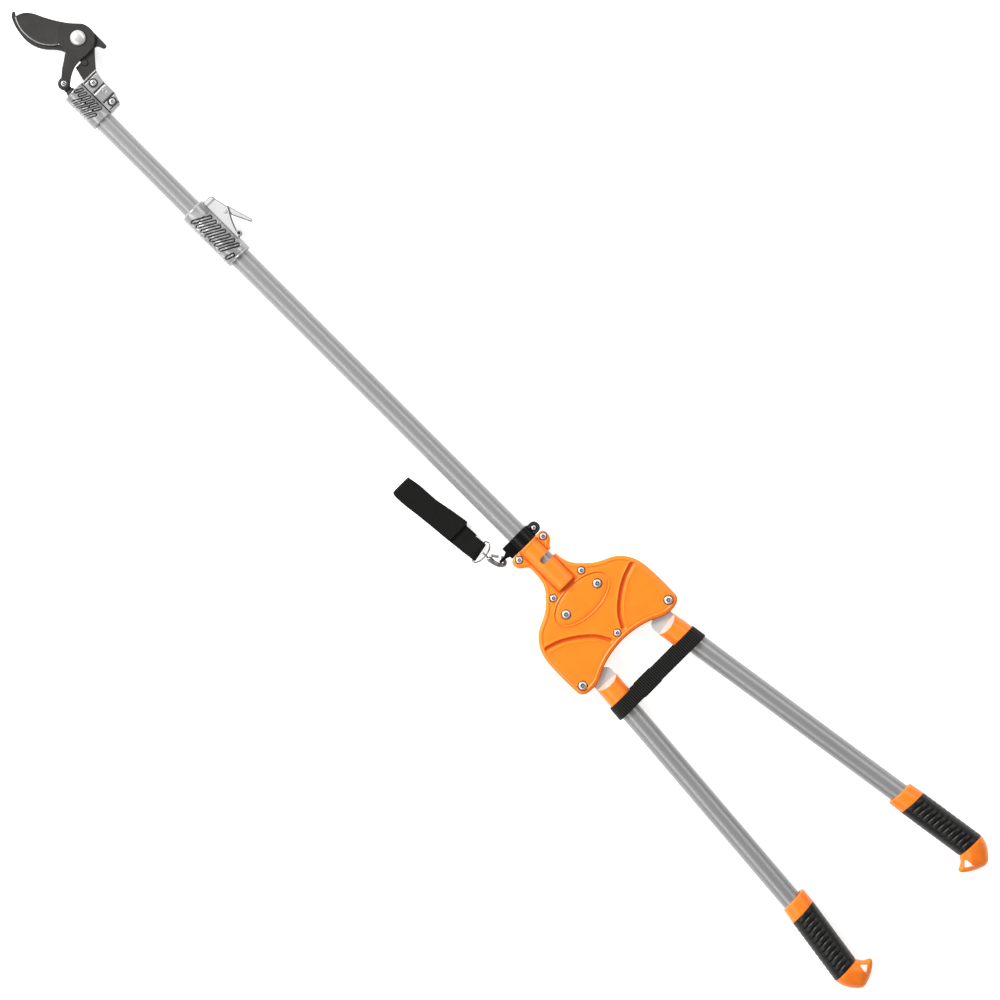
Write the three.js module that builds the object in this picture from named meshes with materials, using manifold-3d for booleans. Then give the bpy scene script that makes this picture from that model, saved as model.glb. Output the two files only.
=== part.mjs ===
// A long-reach bypass lopper: a telescoping pole with a cutting head at +X, worked by two hand levers at -X.
// Millimetres. The pole's axis runs along X, the tool lies flat, and +Z points out of its front cover.
import * as THREE from "three";
import { mergeVertices } from "three/addons/utils/BufferGeometryUtils.js";
import Module from "manifold-3d";

const wasm = await Module();
wasm.setup();

// ---------------------------------------------------------------- driving dimensions

const GAP = 0.3; // air between pieces that touch
const ORIGIN_SHIFT = [0, 15.4, 18.3]; // the tool's own zero, seen from the middle of its base

// pole
const LOWER_TUBE = { from: -186, to: 425, outer: 13.5, inner: 12.75 };
const UPPER_TUBE = { from: -105, to: 672.5, outer: 12.5, inner: 11.5 };
const TUBE_SIDES = 32;

// gear train: the levers' sectors turn two pinions, and the pinions push a rack
const GEAR_MODULE = 2.5;
const PRESSURE_ANGLE = THREE.MathUtils.degToRad(20);
const PINION_TEETH = 16;
const SECTOR_TEETH = 57;
const ADDENDUM = 2.3;
const DEDENDUM = 2.9;
const BACKLASH = 0.12; // taken from each tooth at the pitch line
const GEAR_HALF_THICKNESS = 3;
const PITCH = Math.PI * GEAR_MODULE;
const PINION_RADIUS = (GEAR_MODULE * PINION_TEETH) / 2;
const SECTOR_RADIUS = (GEAR_MODULE * SECTOR_TEETH) / 2;
const RACK_PITCH_LINE = 7.5; // the rack's pitch lines from the pole's axis
const PINION_X = -214.85;
const PINION_Y = RACK_PITCH_LINE + PINION_RADIUS;
const MESH_ANGLE = THREE.MathUtils.degToRad(31.86); // the line from a lever's pivot to its pinion
const LEVER_PIVOT_X = PINION_X - (PINION_RADIUS + SECTOR_RADIUS) * Math.cos(MESH_ANGLE);
const LEVER_PIVOT_Y = PINION_Y + (PINION_RADIUS + SECTOR_RADIUS) * Math.sin(MESH_ANGLE);

// handles, measured along (s) and across (t, towards the pole) from each lever's pivot
// tilt: degrees out from the pole's direction at rest; offset: the tube's axis from the pivot;
// bend: degrees that the tube turns further out inside the grip, at BEND_AT; back: the grip's shift along the tube
const HANDLES = {
  right: { tilt: 8.57, offset: 22.8, bend: 0, back: 0 },
  left: { tilt: 4.585, offset: 24.8, bend: 3.985, back: 1.8 },
};
const GRIP_OFFSET = 22.8; // the grip's own axis before it is moved onto its tube
const BEND_AT = 410.2;
const FERRULE_OFFSET = 25.7;
const HANDLE_TUBE = { from: 27, to: 497, outer: 13.2, inner: 12 };
const FERRULE = { from: 15.5, to: 58, radius: 16 };
const GRIP = { from: 396, to: 485.5, radius: 18.2 };
const COLLAR_FROM = 375.5;
const GRIP_SLANT = 0.2; // the grip's ring planes lean forward by this much on the inner side

// gear case
const CASE_HALF_THICKNESS = 10;
const CASE_WALL = 2.2;
const CAVITY_HALF_HEIGHT = 7.2;
const NECK = { from: -193, to: -118.6, radius: 17, bore: 13.85 };
const PAD = { x: -215, halfLength: 21.5, halfWidth: 42.5, rise: 1 };
const PIVOT_BOLT = { shank: 4, head: 5.7 };
const PINION_BOLT = { shank: 3, head: 5.7 };
const SMALL_SCREW = { shank: 1.6, head: 4.6 };
const HEAD_SEAT = 8.6; // height of the face under a screw head
const SCREW_END = -8; // the screws stop short of the rear face

// head
const BLADE_PIVOT = [725.7, -50.6];
const ARM_PIN = [697.7, 2.2];
const CUTTER_FACE = { low: 0.3, high: 3.8 };
const HOOK_FACE = { low: -4.3, high: -0.3 };
const HOLDER = { from: 630.2, to: 682, radius: 15.7, bore: 12.85 };

// clamp between the two tubes
const CLAMP = { from: 389, to: 473, radius: 17.3 };
const CLAMP_PIN = [441.4, -27.5];
const CLAMP_SCREW = [411, -20.6];

// wrist strap and its fittings
const STRAP_COLLAR = { from: -118.2, to: -100.4, radius: 16 };
const RING_WIRE = 0.9;

const COLOURS = {
  orange: { color: 0xff9632, roughness: 0.42, metalness: 0 },
  black: { color: 0x1a1a19, roughness: 0.8, metalness: 0 },
  webbing: { color: 0x20201e, roughness: 0.95, metalness: 0 },
  tube: { color: 0xb4b4b4, roughness: 0.35, metalness: 0.9 },
  cast: { color: 0xc4c4c4, roughness: 0.4, metalness: 0.85 },
  lever: { color: 0xdcdcda, roughness: 0.45, metalness: 0.7 },
  blade: { color: 0x444240, roughness: 0.5, metalness: 0.3 },
  steel: { color: 0xb8b4b0, roughness: 0.3, metalness: 1 },
  brass: { color: 0xb08d4f, roughness: 0.4, metalness: 1 },
};

// ---------------------------------------------------------------- shape helpers

// A closed solid from a three.js geometry.
function solid(geometry) {
  const plain = geometry.index ? geometry.toNonIndexed() : geometry.clone();
  plain.deleteAttribute("normal");
  plain.deleteAttribute("uv");
  const merged = mergeVertices(plain, 1e-4);
  return new wasm.Manifold(
    new wasm.Mesh({
      numProp: 3,
      vertProperties: merged.attributes.position.array,
      triVerts: new Uint32Array(merged.index.array),
    }),
  );
}

function geometryOf(made) {
  const mesh = made.getMesh();
  const geometry = new THREE.BufferGeometry();
  geometry.setAttribute("position", new THREE.BufferAttribute(mesh.vertProperties, 3));
  geometry.setIndex(new THREE.BufferAttribute(mesh.triVerts, 1));
  geometry.computeVertexNormals();
  return geometry;
}

function join(...pieces) {
  return pieces.reduce((whole, piece) => whole.add(piece));
}

function cut(body, ...tools) {
  return tools.reduce((rest, tool) => rest.subtract(tool), body);
}

// An outline in a plane: a start point, then [x, y] for a straight edge, [cx, cy, x, y] for a quadratic
// curve and [ax, ay, bx, by, x, y] for a cubic one.
function outline(start, ...edges) {
  const path = new THREE.Path();
  path.moveTo(...start);
  for (const edge of edges) {
    if (edge.length === 2) path.lineTo(...edge);
    if (edge.length === 4) path.quadraticCurveTo(...edge);
    if (edge.length === 6) path.bezierCurveTo(...edge);
  }
  return path;
}

function pointsOf(path, divisions = 5) {
  const points = path.getPoints(divisions);
  if (points[0].distanceTo(points[points.length - 1]) < 1e-6) points.pop();
  return points;
}

// A plate with the given outline between two heights. A bevel rounds both of its edges inwards.
function plate(points, low, high, bevel = 0) {
  const geometry = new THREE.ExtrudeGeometry(new THREE.Shape(points), {
    depth: high - low - 2 * bevel,
    bevelEnabled: bevel > 0,
    bevelThickness: bevel,
    bevelSize: bevel,
    bevelOffset: -bevel,
    bevelSegments: 3,
  });
  return solid(geometry.translate(0, 0, low + bevel));
}

function flat(path, low, high, bevel = 0) {
  return plate(pointsOf(path), low, high, bevel);
}

// A slab with an outline in X and Z, between two places along Y.
function slab(corners, y) {
  const shape = new THREE.Shape(corners.map(([x, z]) => new THREE.Vector2(x, z)));
  const geometry = new THREE.ExtrudeGeometry(shape, { depth: y[1] - y[0], bevelEnabled: false });
  return solid(geometry.rotateX(Math.PI / 2).translate(0, y[1], 0));
}

function box(x, y, z) {
  const [width, depth, height] = [x, y, z].map(([low, high]) => high - low);
  const geometry = new THREE.BoxGeometry(width, depth, height);
  return solid(geometry.translate((x[0] + x[1]) / 2, (y[0] + y[1]) / 2, (z[0] + z[1]) / 2));
}

// An upright cylinder.
function post(x, y, radius, low, high, sides = 20) {
  const geometry = new THREE.CylinderGeometry(radius, radius, high - low, sides);
  return solid(geometry.rotateX(Math.PI / 2).translate(x, y, (low + high) / 2));
}

// A cylinder along X.
function bar(from, to, radius, y = 0, z = 0, sides = TUBE_SIDES) {
  const geometry = new THREE.CylinderGeometry(radius, radius, to - from, sides);
  return solid(geometry.rotateZ(-Math.PI / 2).translate((from + to) / 2, y, z));
}

function tube(from, to, outer, inner, y = 0, z = 0, sides = TUBE_SIDES) {
  return cut(bar(from, to, outer, y, z, sides), bar(from - 1, to + 1, inner, y, z, sides));
}

// A turned solid: its profile is [distance along the axis, radius] and starts and ends at radius 0.
function turned(profile, sides = TUBE_SIDES) {
  const points = profile.map(([along, radius]) => new THREE.Vector2(radius, along));
  return new THREE.LatheGeometry(points, sides);
}

function turnedAlongX(profile, y = 0, z = 0, sides = TUBE_SIDES) {
  return solid(turned(profile, sides).rotateZ(-Math.PI / 2).translate(0, y, z));
}

function turnedUpright(profile, x, y, sides = 16) {
  return solid(turned(profile, sides).rotateX(Math.PI / 2).translate(x, y, 0));
}

// A round wire along a curve.
function wire(curve, radius, steps, sides = 8) {
  const circle = new THREE.Shape();
  circle.absarc(0, 0, radius, 0, 2 * Math.PI);
  return solid(
    new THREE.ExtrudeGeometry(circle, { steps, extrudePath: curve, curveSegments: sides / 2 }),
  );
}

function spline(points) {
  return new THREE.CatmullRomCurve3(points.map((p) => new THREE.Vector3(...p)));
}

// Moves each point of a closed outline inwards by a distance.
function inset(points, distance) {
  return points.map((point, i) => {
    const before = points[(i + points.length - 1) % points.length];
    const after = points[(i + 1) % points.length];
    const a = point.clone().sub(before).normalize();
    const b = after.clone().sub(point).normalize();
    const along = a.clone().add(b).normalize();
    const square = Math.max(0.5, along.dot(a));
    return new THREE.Vector2(-along.y, along.x).multiplyScalar(distance / square).add(point);
  });
}

const parts = new THREE.Group();

function add(name, made, colour, parent = parts) {
  const mesh = new THREE.Mesh(geometryOf(made), new THREE.MeshStandardMaterial(COLOURS[colour]));
  mesh.name = name;
  parent.add(mesh);
}

// ---------------------------------------------------------------- screws

// A button-head screw pointing down from its head, with a hexagon socket.
function buttonScrew(x, y, shank, head, seat, end, rise = 2.8) {
  const profile = [
    [end, 0],
    [end, shank],
    [seat, shank],
    [seat, head],
    [seat + 0.3 * rise, head],
    [seat + 0.8 * rise, 0.72 * head],
    [seat + rise, 0.45 * head],
    [seat + rise, 0],
  ];
  const socket = post(x, y, 0.42 * head, seat + 0.45 * rise, seat + rise + 1, 6);
  return cut(turnedUpright(profile, x, y, 12), socket);
}

// ---------------------------------------------------------------- gears

function involute(angle) {
  return Math.tan(angle) - angle;
}

// Half of a tooth's angle at a radius, for an external gear with this many teeth.
function halfToothAngle(radius, teeth) {
  const pitchRadius = (GEAR_MODULE * teeth) / 2;
  const baseRadius = pitchRadius * Math.cos(PRESSURE_ANGLE);
  const pressure = Math.acos(Math.min(1, baseRadius / Math.max(radius, baseRadius)));
  const atPitch = (PITCH / 4 - BACKLASH) / pitchRadius;
  return atPitch + involute(PRESSURE_ANGLE) - involute(pressure);
}

// One tooth's outline points, going round by growing angle.
function toothPoints(centre, teeth) {
  const pitchRadius = (GEAR_MODULE * teeth) / 2;
  const radii = [pitchRadius - DEDENDUM, pitchRadius - 0.6, pitchRadius + ADDENDUM];
  const at = (radius, sign) => {
    const angle = centre + sign * halfToothAngle(radius, teeth);
    return new THREE.Vector2(radius * Math.cos(angle), radius * Math.sin(angle));
  };
  const rising = radii.map((radius) => at(radius, -1));
  const falling = [...radii].reverse().map((radius) => at(radius, 1));
  return [...rising, ...falling];
}

function pinion() {
  const points = [];
  for (let i = 0; i < PINION_TEETH; i++) {
    points.push(...toothPoints(Math.PI / 2 + (2 * Math.PI * i) / PINION_TEETH, PINION_TEETH));
  }
  const wheel = plate(points, -GEAR_HALF_THICKNESS, GEAR_HALF_THICKNESS);
  const bore = post(0, 0, PINION_BOLT.shank + GAP, -5, 5);
  return cut(wheel, bore).translate([PINION_X, -PINION_Y, 0]);
}

// The double-sided rack, with a spigot at its front that fits the drive tube.
const RACK_TEETH = 8;
const RACK_HALF_HEIGHT = 4;
const DRIVE_TUBE = { from: -192, to: 400, outer: 7, inner: 5.6 };

function rack() {
  const root = RACK_PITCH_LINE - DEDENDUM;
  const tip = RACK_PITCH_LINE + ADDENDUM;
  const halfTooth = (y) =>
    PITCH / 4 - BACKLASH + (RACK_PITCH_LINE - y) * Math.tan(PRESSURE_ANGLE);
  const side = [];
  for (let i = RACK_TEETH - 2; i >= -1; i--) {
    const centre = PINION_X + PITCH / 2 - PITCH * i;
    side.push([centre - halfTooth(root), root], [centre - halfTooth(tip), tip]);
    side.push([centre + halfTooth(tip), tip], [centre + halfTooth(root), root]);
  }
  const rear = side[0][0] - 2;
  const front = side[side.length - 1][0] + 2;
  const upper = [[rear, root], ...side, [front, root]];
  const lower = upper.map(([x, y]) => [x, -y]).reverse();
  const points = [...upper, ...lower].reverse().map(([x, y]) => new THREE.Vector2(x, y));
  const spigot = bar(front - 1, DRIVE_TUBE.from + 18, DRIVE_TUBE.inner - GAP, 0, 0, 16);
  return join(plate(points, -RACK_HALF_HEIGHT, RACK_HALF_HEIGHT), spigot).subtract(
    box([rear - 1, front + 30], [-20, 20], [RACK_HALF_HEIGHT + 2, 20]),
  );
}

// ---------------------------------------------------------------- gear case

// One side of the case's outline, from the middle of its rear edge to the middle of its neck.
function caseSide(neck, lobe) {
  const side = outline(
    [-287.2, 0],
    [-287.5, 20, -292, 37, -299.2, 51],
    [-304.6, 61, -304.4, 69, -303.6, 75],
    [-302, 86.9, -291, 86.9],
    [-262, 88, -245, 86.6],
    [-224, 85.5, -213, 76, -206.5, 67.5],
    [-201, 60, -199, 49, -190.5, 39.5],
    [-178, 26, -172, neck + 1, -152, neck],
    [-144, neck],
    [-136, neck, -137, lobe, -126, lobe],
    [NECK.to, lobe, NECK.to, 21],
    [NECK.to, 0],
  );
  return side.getPoints(4);
}

function caseOutline(insetBy = 0) {
  const left = caseSide(18.4, 30.6);
  const right = caseSide(17.4, 28)
    .slice(1, -1)
    .reverse()
    .map((p) => new THREE.Vector2(p.x, -p.y));
  const points = [...left, ...right].reverse();
  return insetBy ? inset(points, insetBy) : points;
}

const CASE_SCREWS = [
  { name: "pivot_bolt_right", x: LEVER_PIVOT_X, y: -LEVER_PIVOT_Y, ...PIVOT_BOLT },
  { name: "pivot_bolt_left", x: LEVER_PIVOT_X, y: LEVER_PIVOT_Y, ...PIVOT_BOLT },
  { name: "pinion_bolt_right", x: PINION_X, y: -PINION_Y, ...PINION_BOLT },
  { name: "pinion_bolt_left", x: PINION_X, y: PINION_Y, ...PINION_BOLT },
  { name: "case_screw_right", x: -189.2, y: -24.9, ...SMALL_SCREW },
  { name: "case_screw_left", x: -189.2, y: 24.3, ...SMALL_SCREW },
  { name: "case_screw_rear", x: -276.2, y: -1.6, ...SMALL_SCREW },
  { name: "neck_screw_right", x: -125.3, y: -21.2, ...SMALL_SCREW },
  { name: "neck_screw_left", x: -125.3, y: 20.8, ...SMALL_SCREW },
];

function ellipse(x, y, halfLength, halfWidth, sides) {
  const curve = new THREE.EllipseCurve(x, y, halfLength, halfWidth, 0, 2 * Math.PI);
  return pointsOf(curve, sides);
}

// The whole case as one block, with its rounded edges, its neck and the pad on each face.
function caseBlock() {
  const body = plate(caseOutline(), -CASE_HALF_THICKNESS, CASE_HALF_THICKNESS, 3.5);
  const neck = turnedAlongX([
    [NECK.from - 5, 0],
    [NECK.from, NECK.radius],
    [NECK.to, NECK.radius],
    [NECK.to, 0],
  ]);
  const padTop = CASE_HALF_THICKNESS + PAD.rise;
  const pad = plate(ellipse(PAD.x, 0, PAD.halfLength, PAD.halfWidth, 32), -padTop, padTop, 0.8);
  return join(body, neck, pad);
}

// The space inside: the gear cavity, the pole's socket and the slots that the levers swing out of.
function caseSpace() {
  const inside = plate(caseOutline(CASE_WALL), -CAVITY_HALF_HEIGHT, CAVITY_HALF_HEIGHT);
  const gearSide = box([-320, LOWER_TUBE.from + 2], [-100, 100], [-20, 20]);
  const socket = bar(LOWER_TUBE.from - GAP, NECK.to + 5, NECK.bore);
  const slotHeight = GEAR_HALF_THICKNESS + 1;
  const slots = [-1, 1].map((side) => {
    const across = side < 0 ? [-95, -29] : [29, 95];
    return box([-320, LEVER_PIVOT_X + 9], across, [-slotHeight, slotHeight]);
  });
  return join(inside.intersect(gearSide), socket, ...slots);
}

// The bosses that carry the screws, the levers and the pinions inside the case.
function bosses() {
  const washer = GEAR_HALF_THICKNESS + GAP;
  return CASE_SCREWS.filter((screw) => screw.x < NECK.from + 10).flatMap((screw) => {
    const turns = screw.name.includes("bolt");
    const radius = turns ? screw.shank + 2.5 : screw.shank + 1.2;
    if (!turns) return [post(screw.x, screw.y, radius, -9, 9, 16)];
    return [
      post(screw.x, screw.y, radius, -9, -washer, 16),
      post(screw.x, screw.y, radius, washer, 9, 16),
    ];
  });
}

// A groove moulded into the front cover on each side.
function groove(side) {
  const depth = CASE_HALF_THICKNESS + 1.4;
  const curve = spline([
    [-229, 74 * side, depth],
    [-235, 57 * side, depth],
    [-246, 39 * side, depth],
    [-261, 22 * side, depth],
    [-277, 12 * side, depth],
  ]);
  return wire(curve, 2.6, 7, 6);
}

function caseHalf(front) {
  const holes = CASE_SCREWS.flatMap(({ x, y, shank, head }) => [
    post(x, y, shank + GAP, SCREW_END - GAP, 20, 12),
    post(x, y, head + 0.4, HEAD_SEAT - GAP, 20, 16),
  ]);
  const window = join(
    box([-151.6, -142.6], [-30, -0.8], [9, 20]),
    post(-147.1, -0.8, 4.5, 9, 20, 20),
  );
  const notch = box([-151.6, -142.6], [-30, -NECK.bore - GAP], [-20, 20]);
  const half = front
    ? box([-320, -100], [-100, 100], [GAP / 2, 20])
    : box([-320, -100], [-100, 100], [-20, -GAP / 2]);
  const shell = cut(caseBlock(), caseSpace());
  const carved = cut(join(shell, ...bosses()), ...holes, notch);
  const trimmed = front ? cut(carved, window, groove(-1), groove(1)) : carved;
  return trimmed.intersect(half);
}

add("front_cover", caseHalf(true), "orange");
add("rear_cover", caseHalf(false), "orange");
for (const { name, x, y, shank, head } of CASE_SCREWS) {
  add(name, buttonScrew(x, y, shank, head, HEAD_SEAT, SCREW_END), "steel");
}

const rightPinion = pinion();
add("pinion_right", rightPinion, "steel");
add("pinion_left", rightPinion.mirror([0, 1, 0]), "steel");
add("drive_rack", rack(), "steel");
add(
  "lower_drive_tube",
  tube(DRIVE_TUBE.from, DRIVE_TUBE.to, DRIVE_TUBE.outer, DRIVE_TUBE.inner, 0, 0, 20),
  "tube",
);

// ---------------------------------------------------------------- pole

add(
  "lower_pole_tube",
  tube(LOWER_TUBE.from, LOWER_TUBE.to, LOWER_TUBE.outer, LOWER_TUBE.inner),
  "tube",
);
add(
  "upper_pole_tube",
  tube(UPPER_TUBE.from, UPPER_TUBE.to, UPPER_TUBE.outer, UPPER_TUBE.inner),
  "tube",
);
add(
  "upper_pole_bush",
  tube(UPPER_TUBE.from + 2, UPPER_TUBE.from + 22, UPPER_TUBE.inner - GAP, DRIVE_TUBE.outer + GAP),
  "black",
);

// The sliding drive rod inside the drive tube, with the fork that holds the push link's tail.
const DRIVE_ROD = { from: -70, to: 632, radius: 5 };
const FORK = { from: 610, to: 650, radius: 11 };

function driveRod() {
  const rod = bar(DRIVE_ROD.from, DRIVE_ROD.to, DRIVE_ROD.radius, 0, 0, 16);
  const fork = bar(FORK.from, FORK.to, FORK.radius, 0, 0, 24);
  const slot = box([FORK.from + 14, FORK.to + 1], [-30, 30], [-3.6, 3.6]);
  return join(cut(fork, slot), rod.subtract(slot));
}
add("upper_drive_rod", driveRod(), "tube");
add(
  "drive_coupler",
  tube(DRIVE_TUBE.to + GAP, DRIVE_TUBE.to + 24, 8, DRIVE_ROD.radius + GAP, 0, 0, 20),
  "brass",
);

// ---------------------------------------------------------------- clamp

function clampSleeve() {
  const { from, to, radius } = CLAMP;
  const body = turnedAlongX([
    [from, 0],
    [from, radius - 0.6],
    [from + 1, radius],
    [to - 2.4, radius],
    [to, radius - 1.6],
    [to, 0],
  ]);
  const lowerSeat = bar(from - 1, LOWER_TUBE.to + GAP, LOWER_TUBE.outer + GAP);
  const upperSeat = bar(LOWER_TUBE.to - 1, to + 1, UPPER_TUBE.outer + GAP);
  const camWindow = box([CLAMP_PIN[0] - 9, CLAMP_PIN[0] + 9], [-40, -8], [-6, 6]);
  return cut(body, lowerSeat, upperSeat, camWindow);
}
add("clamp_sleeve", clampSleeve(), "cast");

// The two cheeks that hold the lever's pin, joined at their front end.
function clampBracket() {
  const shape = outline(
    [407, -16.5],
    [407, -18],
    [423, -22.5, 434, -28.8],
    [440, -32.2],
    [443.5, -34.2],
    [461, -30.2],
    [468.7, -30, 468.9, -25],
    [469.2, -16.5],
  );
  const block = flat(shape, -8, 8);
  const eye = post(...CLAMP_SCREW, 3.6, -8, 8);
  const between = box([400, 463], [-50, -10], [-6.2, 6.2]);
  const sleeve = bar(CLAMP.from - 2, CLAMP.to + 2, CLAMP.radius + GAP);
  const pin = post(...CLAMP_PIN, 2 + GAP, -10, 10, 16);
  const screw = post(...CLAMP_SCREW, 2 + GAP, -10, 10, 16);
  return cut(join(block, eye), between, sleeve, pin, screw);
}
add("clamp_bracket", clampBracket(), "lever");
add("clamp_screw", post(...CLAMP_SCREW, 2, -9, 9, 16), "blade");

// The lever: a handle plate with a round cam about its pin.
function clampLever() {
  const handle = outline(
    [436, -31],
    [434, -30],
    [411.5, -40.8],
    [408.6, -42.6, 410.4, -43.4],
    [412.4, -44.4, 417, -43],
    [444.5, -34.9],
    [446, -31],
  );
  const cam = post(...CLAMP_PIN, 6.4, -5.8, 5.8, 24);
  const pin = post(...CLAMP_PIN, 2 + GAP, -10, 10, 16);
  return cut(join(flat(handle, -5.8, 5.8), cam), pin);
}
add("clamp_lever", clampLever(), "lever");
add("clamp_pin", post(...CLAMP_PIN, 2, -9, 9, 16), "steel");

// The pad that the cam presses on the inner tube.
function clampPad() {
  const { outer } = UPPER_TUBE;
  const block = box([CLAMP_PIN[0] - 8, CLAMP_PIN[0] + 8], [-20.7, -5], [-5.4, 5.4]);
  return cut(block, bar(420, 460, outer + GAP));
}
add("clamp_pad", clampPad(), "black");

// ---------------------------------------------------------------- head holder

const HOLDER_SCREWS = [
  { name: "holder_screw_rear", x: 638.8, y: -24.8 },
  { name: "holder_screw_front", x: 671.9, y: -24.6 },
];

function holderBlock() {
  const { from, to, radius } = HOLDER;
  const barrel = bar(from, to, radius);
  const shape = outline(
    [from, -8],
    [from, -28],
    [from + 1, -30.5, from + 4, -31],
    [645, -34.6],
    [664, -34.6],
    [673, -35.6, to, -38],
    [to, -8],
  );
  const cheeks = flat(shape, -9, 9);
  const panel = box([646, 662], [-33.5, -14.5], [-9.6, 9.6]);
  return join(barrel, cheeks, panel);
}

// Two rows of slanted slots across the barrel's face.
function holderSlots() {
  const slots = [];
  for (const row of [
    { y: -4.4, x: 644, count: 5 },
    { y: 8, x: 645, count: 6 },
  ]) {
    for (let i = 0; i < row.count; i++) {
      const slot = box([-1, 1], [-4.5, 4.5], [-1, 3]).rotate([0, 0, -22]);
      slots.push(slot.translate([row.x + 6.6 * i, row.y, row.y < 0 ? 14.2 : 13]));
    }
  }
  return slots;
}

function holderHalf(front) {
  const { from, to, bore } = HOLDER;
  const tubeBore = bar(from - 1, UPPER_TUBE.to + GAP, bore);
  const mouth = bar(UPPER_TUBE.to - 1, to + 1, 12.2);
  const shank = flat(hookShank(GAP), HOOK_FACE.low - GAP, HOOK_FACE.high + GAP);
  const holes = HOLDER_SCREWS.flatMap(({ x, y }) => [
    post(x, y, 2 + GAP, -12, 12, 16),
    post(x, y, 4.6, 7.4 - GAP, 12, 20),
  ]);
  const recesses = [644.5, 662].map((x) => box([x, x + 1.6], [-40, -15], [8, 12]));
  const half = front
    ? box([600, 700], [-60, 40], [GAP / 2, 20])
    : box([600, 700], [-60, 40], [-20, -GAP / 2]);
  const carved = cut(holderBlock(), tubeBore, mouth, shank, ...holes, ...recesses);
  return (front ? cut(carved, ...holderSlots()) : carved).intersect(half);
}

// The part of the hook's shank that the holder grips, grown by a clearance.
function hookShank(grow) {
  return outline(
    [636 - grow, -18 + grow],
    [636 - grow, -29.4 - grow],
    [664, -32.6 - grow],
    [681, -35.6 - grow],
    [700, -35.6 - grow],
    [700, -18 + grow],
  );
}

add("head_holder_front", holderHalf(true), "cast");
add("head_holder_rear", holderHalf(false), "cast");
for (const { name, x, y } of HOLDER_SCREWS) {
  add(name, buttonScrew(x, y, 2, 4.2, 7.4, -8.5, 2.2), "steel");
}

// ---------------------------------------------------------------- blades

// The counter blade: its hook, the ears round the pivot, the rear spur, and the shank in the holder.
function hookBlade() {
  const shape = outline(
    [636, -18],
    [684, -18],
    [702, -22.2],
    [702, -32],
    [716, -28, 724.5, -26.2],
    [731, -25.6, 741, -15],
    [757, -0.4, 776, -2.6],
    [792, -4, 802, -9.5],
    [807, -12.5, 807.2, -16.2],
    [806.4, -18.6, 804, -17.6],
    [799.5, -14],
    [787, -8.2, 775, -8],
    [757, -7.6, 746, -19],
    [739, -27, 737, -30],
    [741, -40, 742, -52],
    [741, -69.6, 725, -69.6],
    [696, -69.2],
    [692.2, -68.6, 693, -65.4],
    [694, -63.4, 696, -62.8],
    [704, -60.6, 702, -56],
    [694, -48, 682.4, -38.4],
    [682.4, -35.6],
    [680, -35.6],
    [664, -32.6],
    [636, -29.4],
  );
  const blade = flat(shape, HOOK_FACE.low, HOOK_FACE.high);
  const stop = post(698.4, -34.6, 4.2, HOOK_FACE.low, 1.6, 20);
  const holes = HOLDER_SCREWS.map(({ x, y }) => post(x, y, 2 + GAP, -9, 9, 16));
  return cut(join(blade, stop), post(...BLADE_PIVOT, 5.3, -9, 9, 24), ...holes);
}

// The cutting blade: its arm to the push link, its eye and its curved edge.
function cuttingBlade() {
  const [pinX, pinY] = ARM_PIN;
  const shape = outline(
    [pinX + 7.6, pinY - 2.6],
    [713, -9.6],
    [723.6, -26],
    [729, -30.4, 737.2, -27],
    [744.5, -16, 757, -10.4],
    [768, -6.2, 782, -7],
    [792, -8.6, 799.8, -13.2],
    [800.6, -15, 799.8, -16.6],
    [798, -22, 795, -26.2],
    [789, -32.6, 779, -36.6],
    [763, -44, 748, -55],
    [741, -61, 736, -66],
    [728, -71.4, 718, -69.6],
    [708, -66, 704.4, -57],
    [702.6, -52, 703.2, -42],
    [705, -28, 702.2, -20.5],
    [699, -11, pinX - 6.2, pinY - 5],
    [pinX - 11, pinY + 1, pinX - 6, pinY + 6],
    [pinX - 0.5, pinY + 10, pinX + 5, pinY + 6],
    [pinX + 9, pinY + 1.5, pinX + 7.6, pinY - 2.6],
  );
  const blade = plate(pointsOf(shape, 6).reverse(), CUTTER_FACE.low, CUTTER_FACE.high);
  return cut(
    blade,
    post(...BLADE_PIVOT, 5.3, -9, 9, 24),
    post(...ARM_PIN, 2 + GAP, -9, 9, 16),
  );
}

add("hook_blade", hookBlade(), "blade");
add("cutting_blade", cuttingBlade(), "blade");

const PIVOT_BOLT_PROFILE = [
  [-7.6, 0],
  [-7.6, 5],
  [4.1, 5],
  [4.1, 9],
  [5.2, 9],
  [7.6, 6.6],
  [8.6, 3.2],
  [8.8, 0],
];
add("blade_pivot_bolt", turnedUpright(PIVOT_BOLT_PROFILE, ...BLADE_PIVOT, 24), "steel");
add(
  "blade_pivot_nut",
  cut(post(...BLADE_PIVOT, 9, -10.6, -4.6, 6), post(...BLADE_PIVOT, 5.3, -7.9, 0, 24)),
  "steel",
);

// The push link: a knuckle under the blade's arm and a round tail that runs back into the pole.
const LINK_LENGTH = 60;

function pushLink() {
  const [pinX, pinY] = ARM_PIN;
  const knuckle = bar(HOLDER.to + 0.6, 687.3, 6, pinY + 1.5);
  const eye = join(
    post(pinX, pinY, 6.4, -6, -0.4, 24),
    box([686.5, pinX], [pinY - 4.5, pinY + 6.2], [-6, -0.4]),
  );
  const tailEnd = pinX - LINK_LENGTH;
  const tail = bar(tailEnd + 16, HOLDER.to + 2, 4, pinY, 0, 20);
  const tongue = join(
    post(tailEnd, pinY, 2.9, -3, 3, 20),
    box([tailEnd, tailEnd + 18], [pinY - 2.4, pinY + 2.4], [-3, 3]),
  );
  return cut(join(knuckle, eye, tail, tongue), post(pinX, pinY, 2 + GAP, -9, 9, 16));
}
add("push_link", pushLink(), "cast");

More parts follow.
